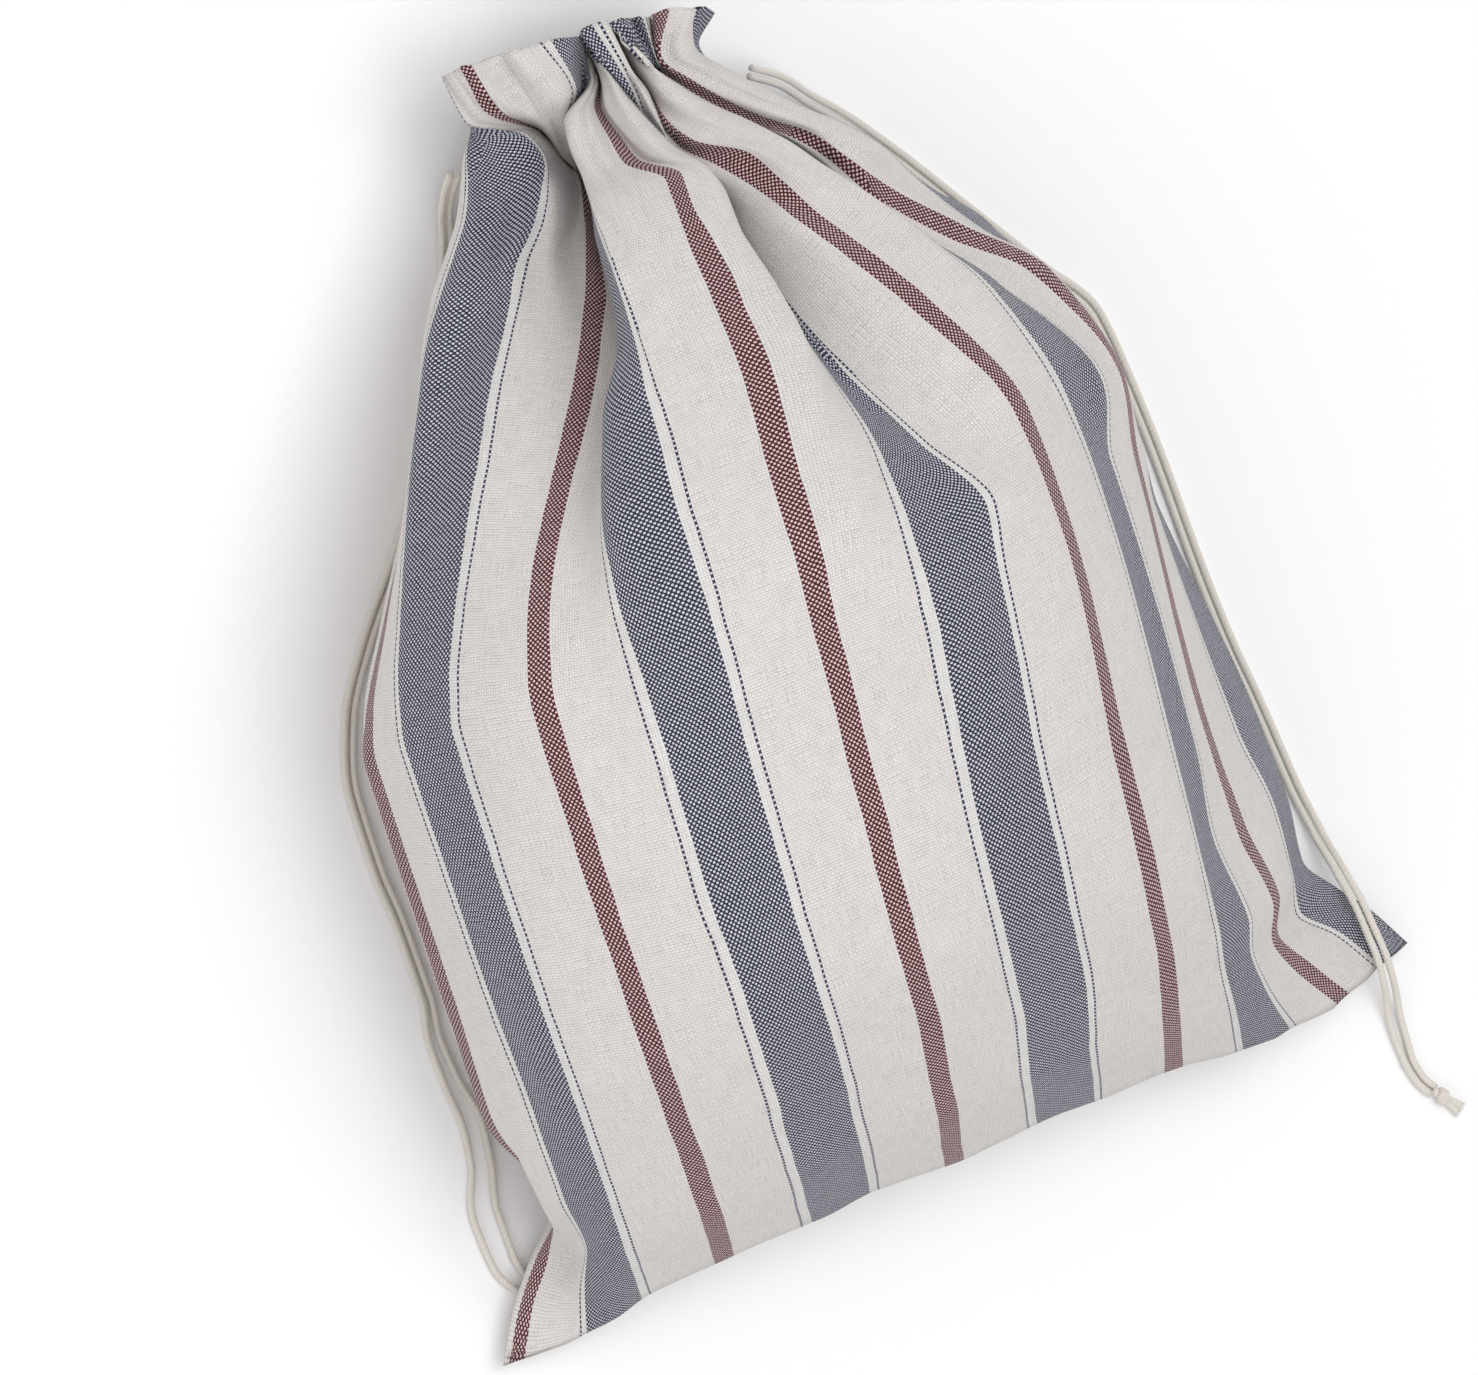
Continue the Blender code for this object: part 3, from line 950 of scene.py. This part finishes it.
@dataclass
class Drawstring:
    """One drawstring where it hangs out of the channel: two strands side by side, knotted at their ends."""

    side: Side
    shift: Array
    diameter: float = 1.7  # of one strand, in millimetres
    points_along: int = 170
    sides: int = 16

    def middle(self) -> tuple[Array, Array]:
        """Set out the pair.

        Returns:
            Its middle line in space, and the gap between the strands along it.
        """
        across, along, height, gap = np.array(ROUTES[self.side], float).T
        knots = placed(across, along, height) + self.shift
        reach = lengths_along(knots)
        wanted = np.linspace(0, reach[-1], self.points_along)
        read = smooth_curve(reach, np.column_stack([knots, gap]), wanted)
        return read[:, :3], read[:, 3:]

    def build(self, finish: bpy.types.Material) -> None:
        """Make the two strands and their knot, and dress them.

        Args:
            finish: The cord's material.
        """
        line, gap = self.middle()
        heading = np.gradient(line, axis=0)
        aside = np.column_stack([-heading[:, 1], heading[:, 0], np.zeros(len(line))])
        aside /= np.linalg.norm(aside, axis=1, keepdims=True)
        tied = OverhandKnot().build(self.side, line[-1], heading[-1], finish)
        for letter, way in (("a", 1.0), ("b", -1.0)):
            path = line + aside * way * (self.diameter + gap) / 2
            name = f"cord_{self.side.value}_{letter}"
            points, faces, places = tube(path, np.full(len(path), self.diameter / 2), self.sides)
            strand = piece_from(f"{name}_strand", points, faces, {"cloth": np.array(places)})
            strand.data.materials.append(finish)
            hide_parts(name)


# The stations along the bag. The foot curves, and the stations above it follow it by these shares.
ALONG = (0.0, 11.0, 20.0, 30.0, 52.0, 77.0, 135.0, 147.0, 165.0, 195.0, 210.0, 225.0)
FOLLOW = (1.0, 1.0, 0.9, 0.8, 0.4, 0.0, 0.0, 0.0, 0.0, 0.0, 0.0, 0.0)

# One pair of rows for each warp line. First: its place in the flat cloth from the left side seam, how far
# along the bag its foot lies, and its places across at the stations. Second: its heights there.
FACE = (
    ((0, -9, (-115.5, -109.5, -102, -93, -98.5, -99.3, -99, -95.5, -85.5, -67.5, -59.5, -51.5)),
     (6, 6.5, 7, 8, 19, 25, 26, 26, 25, 23, 22.5, 21)),
    ((4, -9, (-114.5, -108.5, -101, -91.5, -101, -101, -100.6, -96.3, -86, -68.3, -60.7, -53.3)),
     (6, 7, 8, 9.5, 26, 31, 32, 32, 31, 27, 25, 23.5)),
    ((12, -9, (-109.5, -103.8, -96.5, -92.5, -98.6, -97.7, -97, -93.9, -84.9, -69, -61.7, -54.8)),
     (7, 9, 10.5, 18, 37, 41, 42.5, 42.5, 40.5, 35, 31, 27.5)),
    ((17, -9, (-106, -100, -92.5, -94.3, -96.6, -96.4, -95.7, -92.8, -84.4, -69.4, -62.2, -55.2)),
     (8, 10.5, 13, 29, 44, 47, 49, 49, 46, 39.5, 34.5, 30)),
    ((24, -9, (-101, -96, -89.5, -92.8, -94, -94.6, -94.3, -91.5, -83.9, -69.6, -62.4, -55.6)),
     (9.5, 13.5, 21, 37, 51, 53.5, 56, 56, 53, 44.5, 39.5, 34)),
    ((34, -8, (-94, -91, -87.5, -88.7, -88.8, -89.7, -89.8, -87.6, -81.2, -69, -62, -54.5)),
     (13, 21, 32, 45, 59, 63.5, 66, 65, 61, 50, 45, 40)),
    ((44, -7, (-87, -85.5, -84.5, -84.5, -84.8, -85, -84, -81.5, -75, -61, -52.5, -43)),
     (16, 31, 41, 51, 66, 72, 72, 71, 68, 58, 52, 46)),
    ((57, -4, (-77, -77, -77, -77, -77, -77, -76, -73, -65, -49, -41, -32)),
     (24, 43, 53, 62, 77, 84, 84, 83, 80, 70, 62.5, 54)),
    ((80, -2, (-58, -57.5, -57.5, -57.5, -57.5, -57.5, -56, -53.5, -46.5, -28.5, -20, -13)),
     (32, 55, 66, 76, 91, 98, 101, 99, 91, 72, 62, 52)),
    ((92, -1, (-48, -47, -47, -47, -47, -47, -44, -41.5, -35, -18, -10, -5)),
     (35, 59, 71, 82, 97, 104, 107, 105, 96, 72, 59, 46)),
    ((110, 0, (-32, -31.5, -31, -30, -29.5, -29.5, -28, -28.5, -28.5, -21, -12.5, -9.8)),
     (38, 64, 76, 88, 104, 111, 114, 112, 106, 86, 76, 66)),
    ((129, 2, (-18, -16.5, -15.8, -15, -14, -13, -9.7, -9, -8.3, -7, -6.8, -7.1)),
     (40, 67, 79, 91, 107, 114, 118, 117, 113, 101, 93, 84)),
    ((152, 2, (1, 3, 4.2, 5.5, 7, 8.6, 13, 14, 15, 16.2, 15.6, 14.5)),
     (41, 69, 81, 92, 108, 115, 119, 118, 115, 104, 95.5, 86)),
    ((164, 3, (11, 13, 14.5, 16, 17.7, 19.5, 25, 27.3, 30, 30, 27.8, 24)),
     (41, 69, 80.5, 91, 108, 115, 118, 116.5, 111, 98, 89.5, 80)),
    ((188, 5, (30, 32, 34, 36, 38, 40.3, 47.5, 47, 42.8, 30.8, 26, 21)),
     (40, 66, 77.5, 88, 104.5, 112, 114, 110.5, 100, 78, 65, 52)),
    ((201, 5, (39, 41.5, 43.7, 46, 48.3, 50.7, 58, 59.7, 49.2, 33.3, 27.5, 22)),
     (39, 64, 75, 85, 101, 108, 111, 109, 98, 79, 67, 54)),
    ((220, 6, (54, 57.2, 59.2, 61.2, 63.8, 66, 71.9, 71.8, 70.1, 55.5, 46, 35.9)),
     (36, 60, 70.5, 80, 95, 101, 103.5, 102.5, 98, 87, 79, 70)),
    ((227, 6, (59.5, 62.5, 64.4, 66, 68.5, 70.2, 75, 75.1, 74.3, 61.4, 52.2, 41.8)),
     (34, 56, 66.5, 76, 90.5, 96, 97.5, 96.5, 93.5, 85, 77, 67)),
    ((244, 5, (70.5, 72.5, 73.5, 75, 77.8, 79.3, 83, 82.9, 81, 73.2, 65.3, 55)),
     (31, 52, 61.5, 70, 81.5, 86, 86, 86, 86, 79, 73.5, 66)),
    ((262, 5, (82, 81, 80.7, 82.3, 81.6, 84, 87, 87.3, 89.5, 77.5, 65.5, 52)),
     (27, 44, 51.5, 58, 68.5, 72, 72, 71, 69, 60, 53, 44)),
    ((270, 6, (86.7, 84, 83.2, 85.3, 83.4, 86.3, 88.9, 88.9, 93.2, 77.3, 64, 51.5)),
     (24, 40, 47, 53, 64, 67.5, 68, 67, 66, 57, 50, 42)),
    ((290, 7, (97.5, 90.5, 87.8, 90.8, 88.2, 88.8, 93.3, 94.4, 96.6, 83.2, 66.5, 54)),
     (17.5, 30, 38, 46, 55, 58, 57, 57, 56, 53, 50, 46.5)),
    ((296, 8.6, (101, 93.7, 90.4, 93.3, 90.6, 90.3, 94.2, 95, 98.4, 88.2, 72, 57.8)),
     (14.5, 25, 33, 41, 50, 52.5, 52, 52, 52, 50, 48, 46)),
    ((300, 9.5, (103.5, 96, 91.3, 94.5, 92.2, 91.4, 94.9, 96.2, 98.7, 90.2, 75.8, 61)),
     (13, 22.5, 30.5, 37.5, 46.5, 49, 48, 48, 48, 47, 46, 45)),
    ((310, 11, (108, 100.5, 93.8, 97.3, 96.5, 94.3, 95.4, 97.3, 98.4, 90.4, 76.4, 64)),
     (10, 17, 24, 29, 37, 40, 39, 39, 39, 40, 40, 39)),
    ((319, 12.6, (111, 103.7, 96.7, 98.6, 99.4, 96.7, 95.8, 97.6, 97.8, 89.6, 76.8, 67)),
     (8, 13, 18, 22, 28, 31, 30, 30, 31, 34, 34, 33)),
    ((330, 14.5, (116.5, 109.5, 102.5, 100.8, 102.3, 100.5, 96.7, 97.5, 95.5, 87.5, 79, 67.5)),
     (6, 8.5, 12, 15.5, 19, 21, 20, 20, 21, 26, 27, 28)),
    ((341, 16, (120, 113.7, 107.8, 102.4, 103.8, 103.3, 96.8, 96, 92.5, 85, 80.2, 66.5)),
     (4, 5, 7.5, 11, 12, 13, 10, 10.5, 11, 18, 19.5, 20)),
)

# The neck's stations along the bag, past those above, and one row for each of its warp lines: the line's
# place in the flat cloth, its places across at these stations and at the heading's free edge, its heights
# there, and how far along the bag its free edge lies. Where the places turn back, the cloth is folded under
# its neighbour.
NECK_ALONG = (235.0, 243.0, 250.0, 257.0, 264.0, 271.0)
NECK = (
    (0, (-48, -42, -37, -34, -29, -25, -25), (21, 20, 20, 20, 20, 18, 18), 282),
    (8, (-49.5, -43.5, -38.5, -35, -31, -26, -26.5), (25, 25, 25, 24, 22, 20, 20), 282.5),
    (24, (-50, -44, -39, -35.5, -32.3, -27.5, -28.2), (31, 30, 30, 29, 27, 23, 22), 283),
    (34, (-47.5, -41.5, -36.5, -33.5, -31.5, -28.3, -29.3), (38, 37, 37, 35, 33, 27, 25), 283),
    (44, (-38, -32, -27, -25, -26, -29, -30.2), (44, 40, 38, 36, 34, 30, 29), 283),
    (54, (-29.3, -22, -17.5, -14.5, -17, -29.6, -31.3), (48, 46, 43, 40, 38, 35, 34), 283),
    (60, (-23.5, -17.5, -14.5, -13.5, -16, -28.4, -30.8), (48, 45, 41, 35, 34, 38, 37), 283),
    (70, (-16.5, -11.5, -9.5, -10.5, -14, -26, -28.8), (46, 40, 34, 27, 27, 39, 40), 283),
    (80, (-10.4, -8.8, -8, -10, -13.5, -22.5, -25.6), (43, 36, 30, 24, 27, 38, 41), 283.5),
    (88, (-7.5, -6, -7, -10.8, -12.5, -17, -20.2), (40, 32, 27, 28, 33, 38, 41), 283.5),
    (92, (-6.2, -5.5, -6.5, -10.2, -11.2, -12.8, -15.8), (39, 31, 27, 30, 35, 38, 40), 283.2),
    (94, (-6, -5.5, -6.3, -9.8, -10.6, -11.4, -14.8), (41, 33, 28, 31, 37, 41, 43), 283.2),
    (103, (-8.5, -6.5, -5.5, -7.2, -6.4, -3, -6.4), (52, 44, 34, 33, 37, 41, 44), 283),
    (112, (-9.3, -7.2, -5.5, -5.5, -4, -0.8, 0), (62, 54, 42, 33, 30, 36, 43), 282),
    (120, (-8.8, -7.8, -6.5, -6.3, -4.5, 0.2, 2.8), (70, 62, 50, 40, 33, 32, 39), 281.5),
    (128.5, (-7.6, -7.8, -7.6, -8.2, -7.4, 1.2, 3.4), (76, 68, 57, 51, 46, 37, 31), 281),
    (138, (1, -1, -3, -4.2, -3.6, 2.6, 3.6), (79, 72, 62, 56, 50, 38, 26), 281),
    (149, (11.3, 11, 3, 1.4, 0.4, 3.4, 3.6), (80, 73, 61, 53, 45, 35, 25), 281),
    (156, (16, 15.6, 6.8, 4.2, 2.3, 3.8, 3.5), (79, 72, 57, 49, 41, 33, 25), 281),
    (160, (19.2, 18, 8.6, 5, 3, 4.2, 3.2), (77, 71, 62, 55, 47, 40, 27), 281),
    (168, (23.5, 21, 13.2, 9, 6.4, 5.6, 2.8), (70, 66, 62, 57, 51, 45, 30), 281),
    (177, (21.5, 20.5, 15.6, 12, 9.2, 6.8, 2.6), (56, 54, 53, 51, 47, 43, 34), 281.5),
    (188, (18, 16, 14, 10.8, 8, 6, 2.8), (46, 42, 38, 38, 40, 42, 39), 282.5),
    (193, (17.5, 15.5, 13.5, 10.3, 9, 7.4, 4.4), (44, 40, 36, 37, 43, 44, 42), 283.4),
    (198, (18, 15.5, 13, 10.5, 10.4, 9.2, 6.3), (43, 39, 35, 40, 46, 46, 43), 283.5),
    (206, (20, 17, 13.8, 13, 12.3, 11.5, 10), (45, 42, 43, 48, 49, 45, 41), 283.2),
    (214, (24.5, 18.7, 14.6, 14.2, 13.8, 11.6, 10), (54, 49, 47, 45, 43, 36, 31), 282.5),
    (221, (30, 22.8, 16.2, 14, 13.6, 11.6, 9.8), (60, 55, 48, 43, 36, 31, 27), 282),
    (227, (36.5, 31.5, 20, 15.6, 14, 12, 9.7), (63, 58, 53, 47, 40, 33, 27), 282),
    (234, (41.5, 36, 27, 20, 16, 13.6, 9.7), (64, 60, 56, 51, 47, 41, 31), 282),
    (244, (47, 41, 34, 26, 20, 15.8, 9.7), (59, 55, 52, 49, 46, 42, 37), 282),
    (250, (47, 41, 34.5, 27, 21, 15.4, 9.8), (50, 46, 43, 41, 40, 41, 42), 282.3),
    (258, (44.5, 38, 32, 25.5, 20.2, 16, 14), (40, 37, 34, 33, 34, 40, 44), 282.3),
    (262, (43, 36.8, 31, 24.6, 19.6, 16.6, 15.2), (38, 34, 31, 30, 31, 38, 40), 282),
    (270, (43.5, 37, 31.2, 25, 20, 17.8, 18), (37, 33, 30, 28, 29, 38, 43), 281.2),
    (276, (45, 38.5, 32, 25.6, 20.6, 18.4, 19.4), (37, 33, 29, 27, 27, 33, 38), 281),
    (284, (47, 40.5, 33.4, 26.4, 21, 18, 19.6), (40, 35, 31, 29, 28, 29, 33), 281),
    (293, (49.5, 43, 33.6, 26.4, 20.8, 17.2, 20.4), (44, 40, 37, 37, 36, 35, 39), 281.3),
    (299, (53, 47, 37.6, 30, 24, 19.2, 24.6), (46, 42, 41, 41, 40, 38, 43), 281),
    (309, (58, 51.5, 43.5, 36, 30, 24.8, 30.6), (45, 43, 42, 42, 41, 40, 41), 279),
    (318, (61.5, 54.5, 46.5, 39.5, 33, 27.6, 29.4), (40, 37, 36, 35, 34, 34, 37), 278.5),
    (325, (62, 55, 46.4, 39, 32.6, 27.4, 28), (34, 31, 30, 30, 29, 29, 35), 279.2),
    (332, (60, 52.8, 45, 37.6, 31.6, 28, 32), (29, 28, 27, 27, 26, 27, 36), 279),
    (338, (58.5, 51, 43.5, 36.4, 31, 28.6, 34.6), (23, 22, 22, 22, 22, 23, 31), 277),
    (341, (58, 51, 43, 36, 31, 28, 31.8), (20, 20, 20, 20, 20, 19, 24), 276.5),
)


@dataclass
class ClothWall:
    """The cloth's closed wall while it is put together, in rings from the bag's foot to its free edge."""

    number: Array  # each outer point's number, by ring and by place around from the left side seam
    front: Array  # the face's maps, by ring and column
    back: Array  # the back's
    faces: Faces = field(default_factory=list)
    places: list[Array] = field(default_factory=list)

    def add(self, *corners: tuple[int, int, int]) -> None:
        """Add one face.

        Args:
            corners: Each corner's ring, its place around, and one where it is on the inside.
        """
        around = self.number.shape[1]
        on_front = min(place for _, place, _ in corners) < around // 2
        face = []
        for ring, place, inside in corners:
            face.append(int(self.number[ring, place % around]) + inside * self.number.size)
            self.places.append(self.front[ring, place] if on_front else self.back[ring, around - place])
        self.faces.append(tuple(face))

    def close(self) -> None:
        """Add the outside, the coarser inside and the rim that joins them at the free edge."""
        last, around = self.number.shape[0] - 1, self.number.shape[1]
        rings, marks = range(last + 1), [*range(0, last, 2), last]
        for place in range(around):
            for ring, above in zip(rings, rings[1:]):
                self.add((ring, place, 0), (ring, place + 1, 0), (above, place + 1, 0), (above, place, 0))
        for place in range(0, around, 2):
            for ring, above in zip(marks, marks[1:]):
                self.add((ring, place, 1), (above, place, 1), (above, place + 2, 1), (ring, place + 2, 1))
            self.add((last, place, 0), (last, place + 1, 0), (last, place, 1))
            self.add((last, place + 1, 0), (last, place + 2, 0), (last, place + 2, 1), (last, place, 1))

    def trimmed(self, points: Array) -> Array:
        """Leave out the points that no face uses, and number the faces' corners anew.

        Args:
            points: The outer points and then the inner ones.

        Returns:
            The points that are used.
        """
        used = np.unique(np.concatenate([np.array(each) for each in self.faces]))
        renumber = np.zeros(len(points), int)
        renumber[used] = np.arange(len(used))
        self.faces = [tuple(int(renumber[n]) for n in each) for each in self.faces]
        return points[used]


@dataclass
class LinenBag:
    """The bag itself: one length of cloth folded at the foot, seamed at the sides, gathered at the neck."""

    panel_width: float = 341.0
    warp_length: float = 328.0  # the flat cloth from the foot's fold to the gathers
    heading: float = 14.0  # the ruffle above the gathers
    gathered: Pair = (175.0, 215.0)  # where along the bag the cloth begins to crowd
    crimps: float = 13.0  # flat cloth in one small crimp at the neck
    crimp_depth: float = 1.2
    crimp_rise: Pair = (222.0, 262.0)
    crimp_fade: Pair = (22.0, 48.0)  # from either side seam
    crimp_wander: tuple[Wave, ...] = ((2.0, 9.0, 1 / 15, 0.0), (3.0, math.inf, 1 / 23, 0.0))
    thickness: float = 0.8  # of the cloth, as it is drawn
    columns: int = 200
    # How many rows of points lie between each station and the next.
    station_rows: tuple[int, ...] = (8, 7, 7, 13, 13, 26, 7, 10, 16, 9, 9, 8, 7, 7, 6, 6, 6)
    heading_rows: int = 9
    wall_width: float = 0.17  # the share of the width over which the back falls from either side seam
    foot_wall: float = 62.0  # how far along the bag it falls from the foot
    base_rise: Pair = (185.0, 262.0)  # where along the bag it leaves the surface
    neck_clearance: float = 5.0  # how high it hangs there
    neck_slant: float = 6.0  # how far it stays behind the face
    back_pleats: int = 10
    back_pleat_depth: float = 13.0
    back_slack_depth: float = 8.0  # the slack's folds where the back lies on the surface
    pleat_wander: tuple[Wave, ...] = (
        (0.35, 31.0, 9.0, 0.0), (0.3, 57.0, 0.0, 3.0), (1.3, math.inf, 11.0, 0.0)
    )
    pleat_change: Wave = (0.2, math.inf, 23.0, 0.0)  # from pleat to pleat
    slack_change: Wave = (0.3, 43.0, 17.0, 0.0)
    average_over: int = 3  # how many rows and columns each way the crowding is averaged over
    closest: float = 0.1  # the closest that two columns are taken to lie

    def face(self) -> tuple[Array, Array]:
        """Set out the face.

        Returns:
            Its outer points in rows from the foot to the free edge, and each column's place in the cloth.
        """
        columns = np.linspace(0.0, self.panel_width, self.columns + 1)
        flat_low = np.array([line[0] for line, _ in FACE], float)
        body = np.array([np.stack([line[2], heights], axis=1) for line, heights in FACE], float)
        feet = smooth_curve(flat_low, np.array([line[1] for line, _ in FACE], float), columns)
        flat_high = np.array([row[0] for row in NECK], float)
        neck = np.array([np.stack([row[1], row[2]], axis=1) for row in NECK], float)
        free = smooth_curve(flat_high, np.array([row[3] for row in NECK], float), columns)
        lower, upper = smooth_curve(flat_low, body, columns), smooth_curve(flat_high, neck, columns)
        pairs = np.concatenate([lower, upper], axis=1)
        counts = (*self.station_rows, self.heading_rows)
        rows = []
        for column, pair in enumerate(pairs):
            below = np.array(ALONG) + feet[column] * np.array(FOLLOW)
            stations = np.array([*below, *NECK_ALONG, free[column]])
            along = np.concatenate(
                [np.linspace(a, b, n, endpoint=False) for a, b, n in zip(stations, stations[1:], counts)]
                + [stations[-1:]]
            )
            rows.append(np.column_stack([smooth_curve(stations, pair, along), along]))
        grid = np.array(rows).transpose(1, 0, 2)
        return placed(grid[..., 0], grid[..., 2], grid[..., 1]), columns

    def back(self, face: Array, columns: Array) -> Array:
        """Hang the back from the side seams and the foot.

        Args:
            face: The face's points.
            columns: Each column's place in the flat cloth.

        Returns:
            The back's outer points, in the same rows and columns.
        """

        def fall(share: Array) -> Array:
            """Give a quarter round that starts upright at one and has lain down by nought."""
            clear = 1.0 - np.clip(share, 0.0, 1.0)
            return 1.0 - np.sqrt(1.0 - clear**2)

        share = (columns / self.panel_width)[None, :, None]
        left, right, foot = face[:, :1], face[:, -1:], face[:1]
        level = left + (right - left) * share
        gone = np.exp(-(((level[..., 1:2] - level[:1, :, 1:2]) / self.foot_wall) ** 2))
        points = level + (foot - level[:1]) * gone
        inward = (points[..., 1] - points[:1, :, 1]) / self.foot_wall
        across = share[..., 0]
        at_left, at_right = fall(across / self.wall_width), fall((1 - across) / self.wall_width)
        at_foot = fall(inward)
        rise = eased(points[..., 1], *self.base_rise)
        wander = waves(points[..., 1], across, self.pleat_wander)
        wave = 0.5 - 0.5 * np.cos(2 * math.pi * self.back_pleats * across + wander)
        pleat = self.back_pleat_depth * uneven(points[..., 1], across, self.pleat_change) * wave
        slack = self.back_slack_depth * uneven(points[..., 1], across, self.slack_change) * wave
        lying = rise * (self.neck_clearance + pleat) + (1 - rise) * slack
        middle = 1 - at_left - at_right
        points[..., 1] -= self.neck_slant * rise * middle
        points[..., 2] = (
            at_left * left[..., 2]
            + at_right * right[..., 2]
            + middle * lying * (1 - at_foot)
            + at_foot * (foot[..., 2] - at_left * left[:1, :, 2] - at_right * right[:1, :, 2])
        )
        return points

    def crimped(self, face: Array, columns: Array) -> Array:
        """Raise the small crimps at the neck, which the line of sight hides but the light shows.

        Args:
            face: The face's points.
            columns: Each column's place in the flat cloth.

        Returns:
            The face with its crimps.
        """
        along = face[..., 1] - SHIFT[1]
        wander = waves(along, columns, self.crimp_wander)
        clear = eased(columns, *self.crimp_fade) * eased(self.panel_width - columns, *self.crimp_fade)
        height = self.crimp_depth * eased(along, *self.crimp_rise) * clear
        height = height * np.sin(2 * math.pi * columns / self.crimps + wander)
        return face + placed(np.zeros_like(height), np.zeros_like(height), height)

    def surfaces(self) -> tuple[Array, Array, Array]:
        """Set out the whole outside.

        Returns:
            The face's and back's points with their heading, and the columns.
        """
        face, columns = self.face()
        back = self.back(face, columns)
        return face + SHIFT, back + SHIFT, columns

    def cloth_places(self, rows: Array, columns: Array, way: float) -> Array:
        """Find each point's place in the flat cloth.

        Args:
            rows: A side's points in rows.
            columns: Each column's place across.
            way: One on the face, minus one on the back.

        Returns:
            For each point its place across and along, in metres, how many times closer than flat the warp
            is crowded there, and nought.
        """
        along = way * even_picks(rows) * MM
        across = np.broadcast_to(columns, along.shape) * MM
        gap = np.linalg.norm(np.diff(rows, axis=1), axis=2)
        gap = np.concatenate([gap[:, :1], gap], axis=1)
        crowding = self.panel_width / self.columns / np.maximum(blurred(gap, self.average_over), self.closest)
        crowding = 1 + (crowding - 1) * eased(rows[..., 1] - SHIFT[1], *self.gathered)
        return np.stack([across, along, crowding, np.zeros_like(along)], axis=2)

    def build(self, finish: bpy.types.Material) -> bpy.types.Object:
        """Make the bag's cloth as one closed wall and dress it.

        Args:
            finish: The cloth's material.

        Returns:
            The bag.
        """
        face, back, columns = self.surfaces()
        rings = np.concatenate([self.crimped(face, columns), back[:, -2:0:-1]], axis=1)
        outer = rings.reshape(-1, 3)
        number = np.arange(len(outer)).reshape(rings.shape[:2])
        # The foot is one row that the face and the back share.
        number[0, self.columns + 1 :] = np.arange(self.columns - 1, 0, -1)
        inner = outer - self.normals(outer, number) * self.thickness
        front_maps, back_maps = self.cloth_places(face, columns, 1.0), self.cloth_places(back, columns, -1.0)
        wall = ClothWall(number, front_maps, back_maps)
        wall.close()
        points = wall.trimmed(np.concatenate([outer, inner]))
        corners = np.array(wall.places)
        layers = {"cloth": corners[:, :2], "crowding": corners[:, 2:]}
        bag = piece_from("linen_bag", points, wall.faces, layers)
        bag.data.materials.append(finish)
        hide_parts("bag_cloth")
        return bag

    def normals(self, outer: Array, number: Array) -> Array:
        """Find the outward direction at each point.

        Args:
            outer: The outside's points.
            number: Each place's point number, in rings.

        Returns:
            One unit vector for each point.
        """
        wrapped = np.concatenate([number, number[:, :1]], axis=1)
        a, b = outer[wrapped[:-1, :-1]], outer[wrapped[:-1, 1:]]
        c, d = outer[wrapped[1:, 1:]], outer[wrapped[1:, :-1]]
        square = np.cross(c - a, d - b)
        total = np.zeros_like(outer)
        for corner in (wrapped[:-1, :-1], wrapped[:-1, 1:], wrapped[1:, 1:], wrapped[1:, :-1]):
            np.add.at(total, corner.ravel(), square.reshape(-1, 3))
        return total / np.maximum(np.linalg.norm(total, axis=1, keepdims=True), TINY)


def main() -> None:
    """Build the studio, the drawstrings and the bag, in that order."""
    logging.basicConfig(level=logging.INFO, format="%(message)s")
    log = logging.getLogger("linen_bag")
    for old in [each for each in bpy.data.objects if each.type in ("CAMERA", "LIGHT") or each.name == "Cube"]:
        bpy.data.objects.remove(old, do_unlink=True)
    Studio().build(SHIFT)
    log.info("studio ready")
    cord = CottonCord().material()
    for side in Side:
        Drawstring(side, SHIFT).build(cord)
        log.info("drawstring on the %s ready", side.value)
    bag = LinenBag().build(StripedLinen().material())
    log.info("bag ready: %d faces", len(bag.data.polygons))


if __name__ == "__main__":
    main()
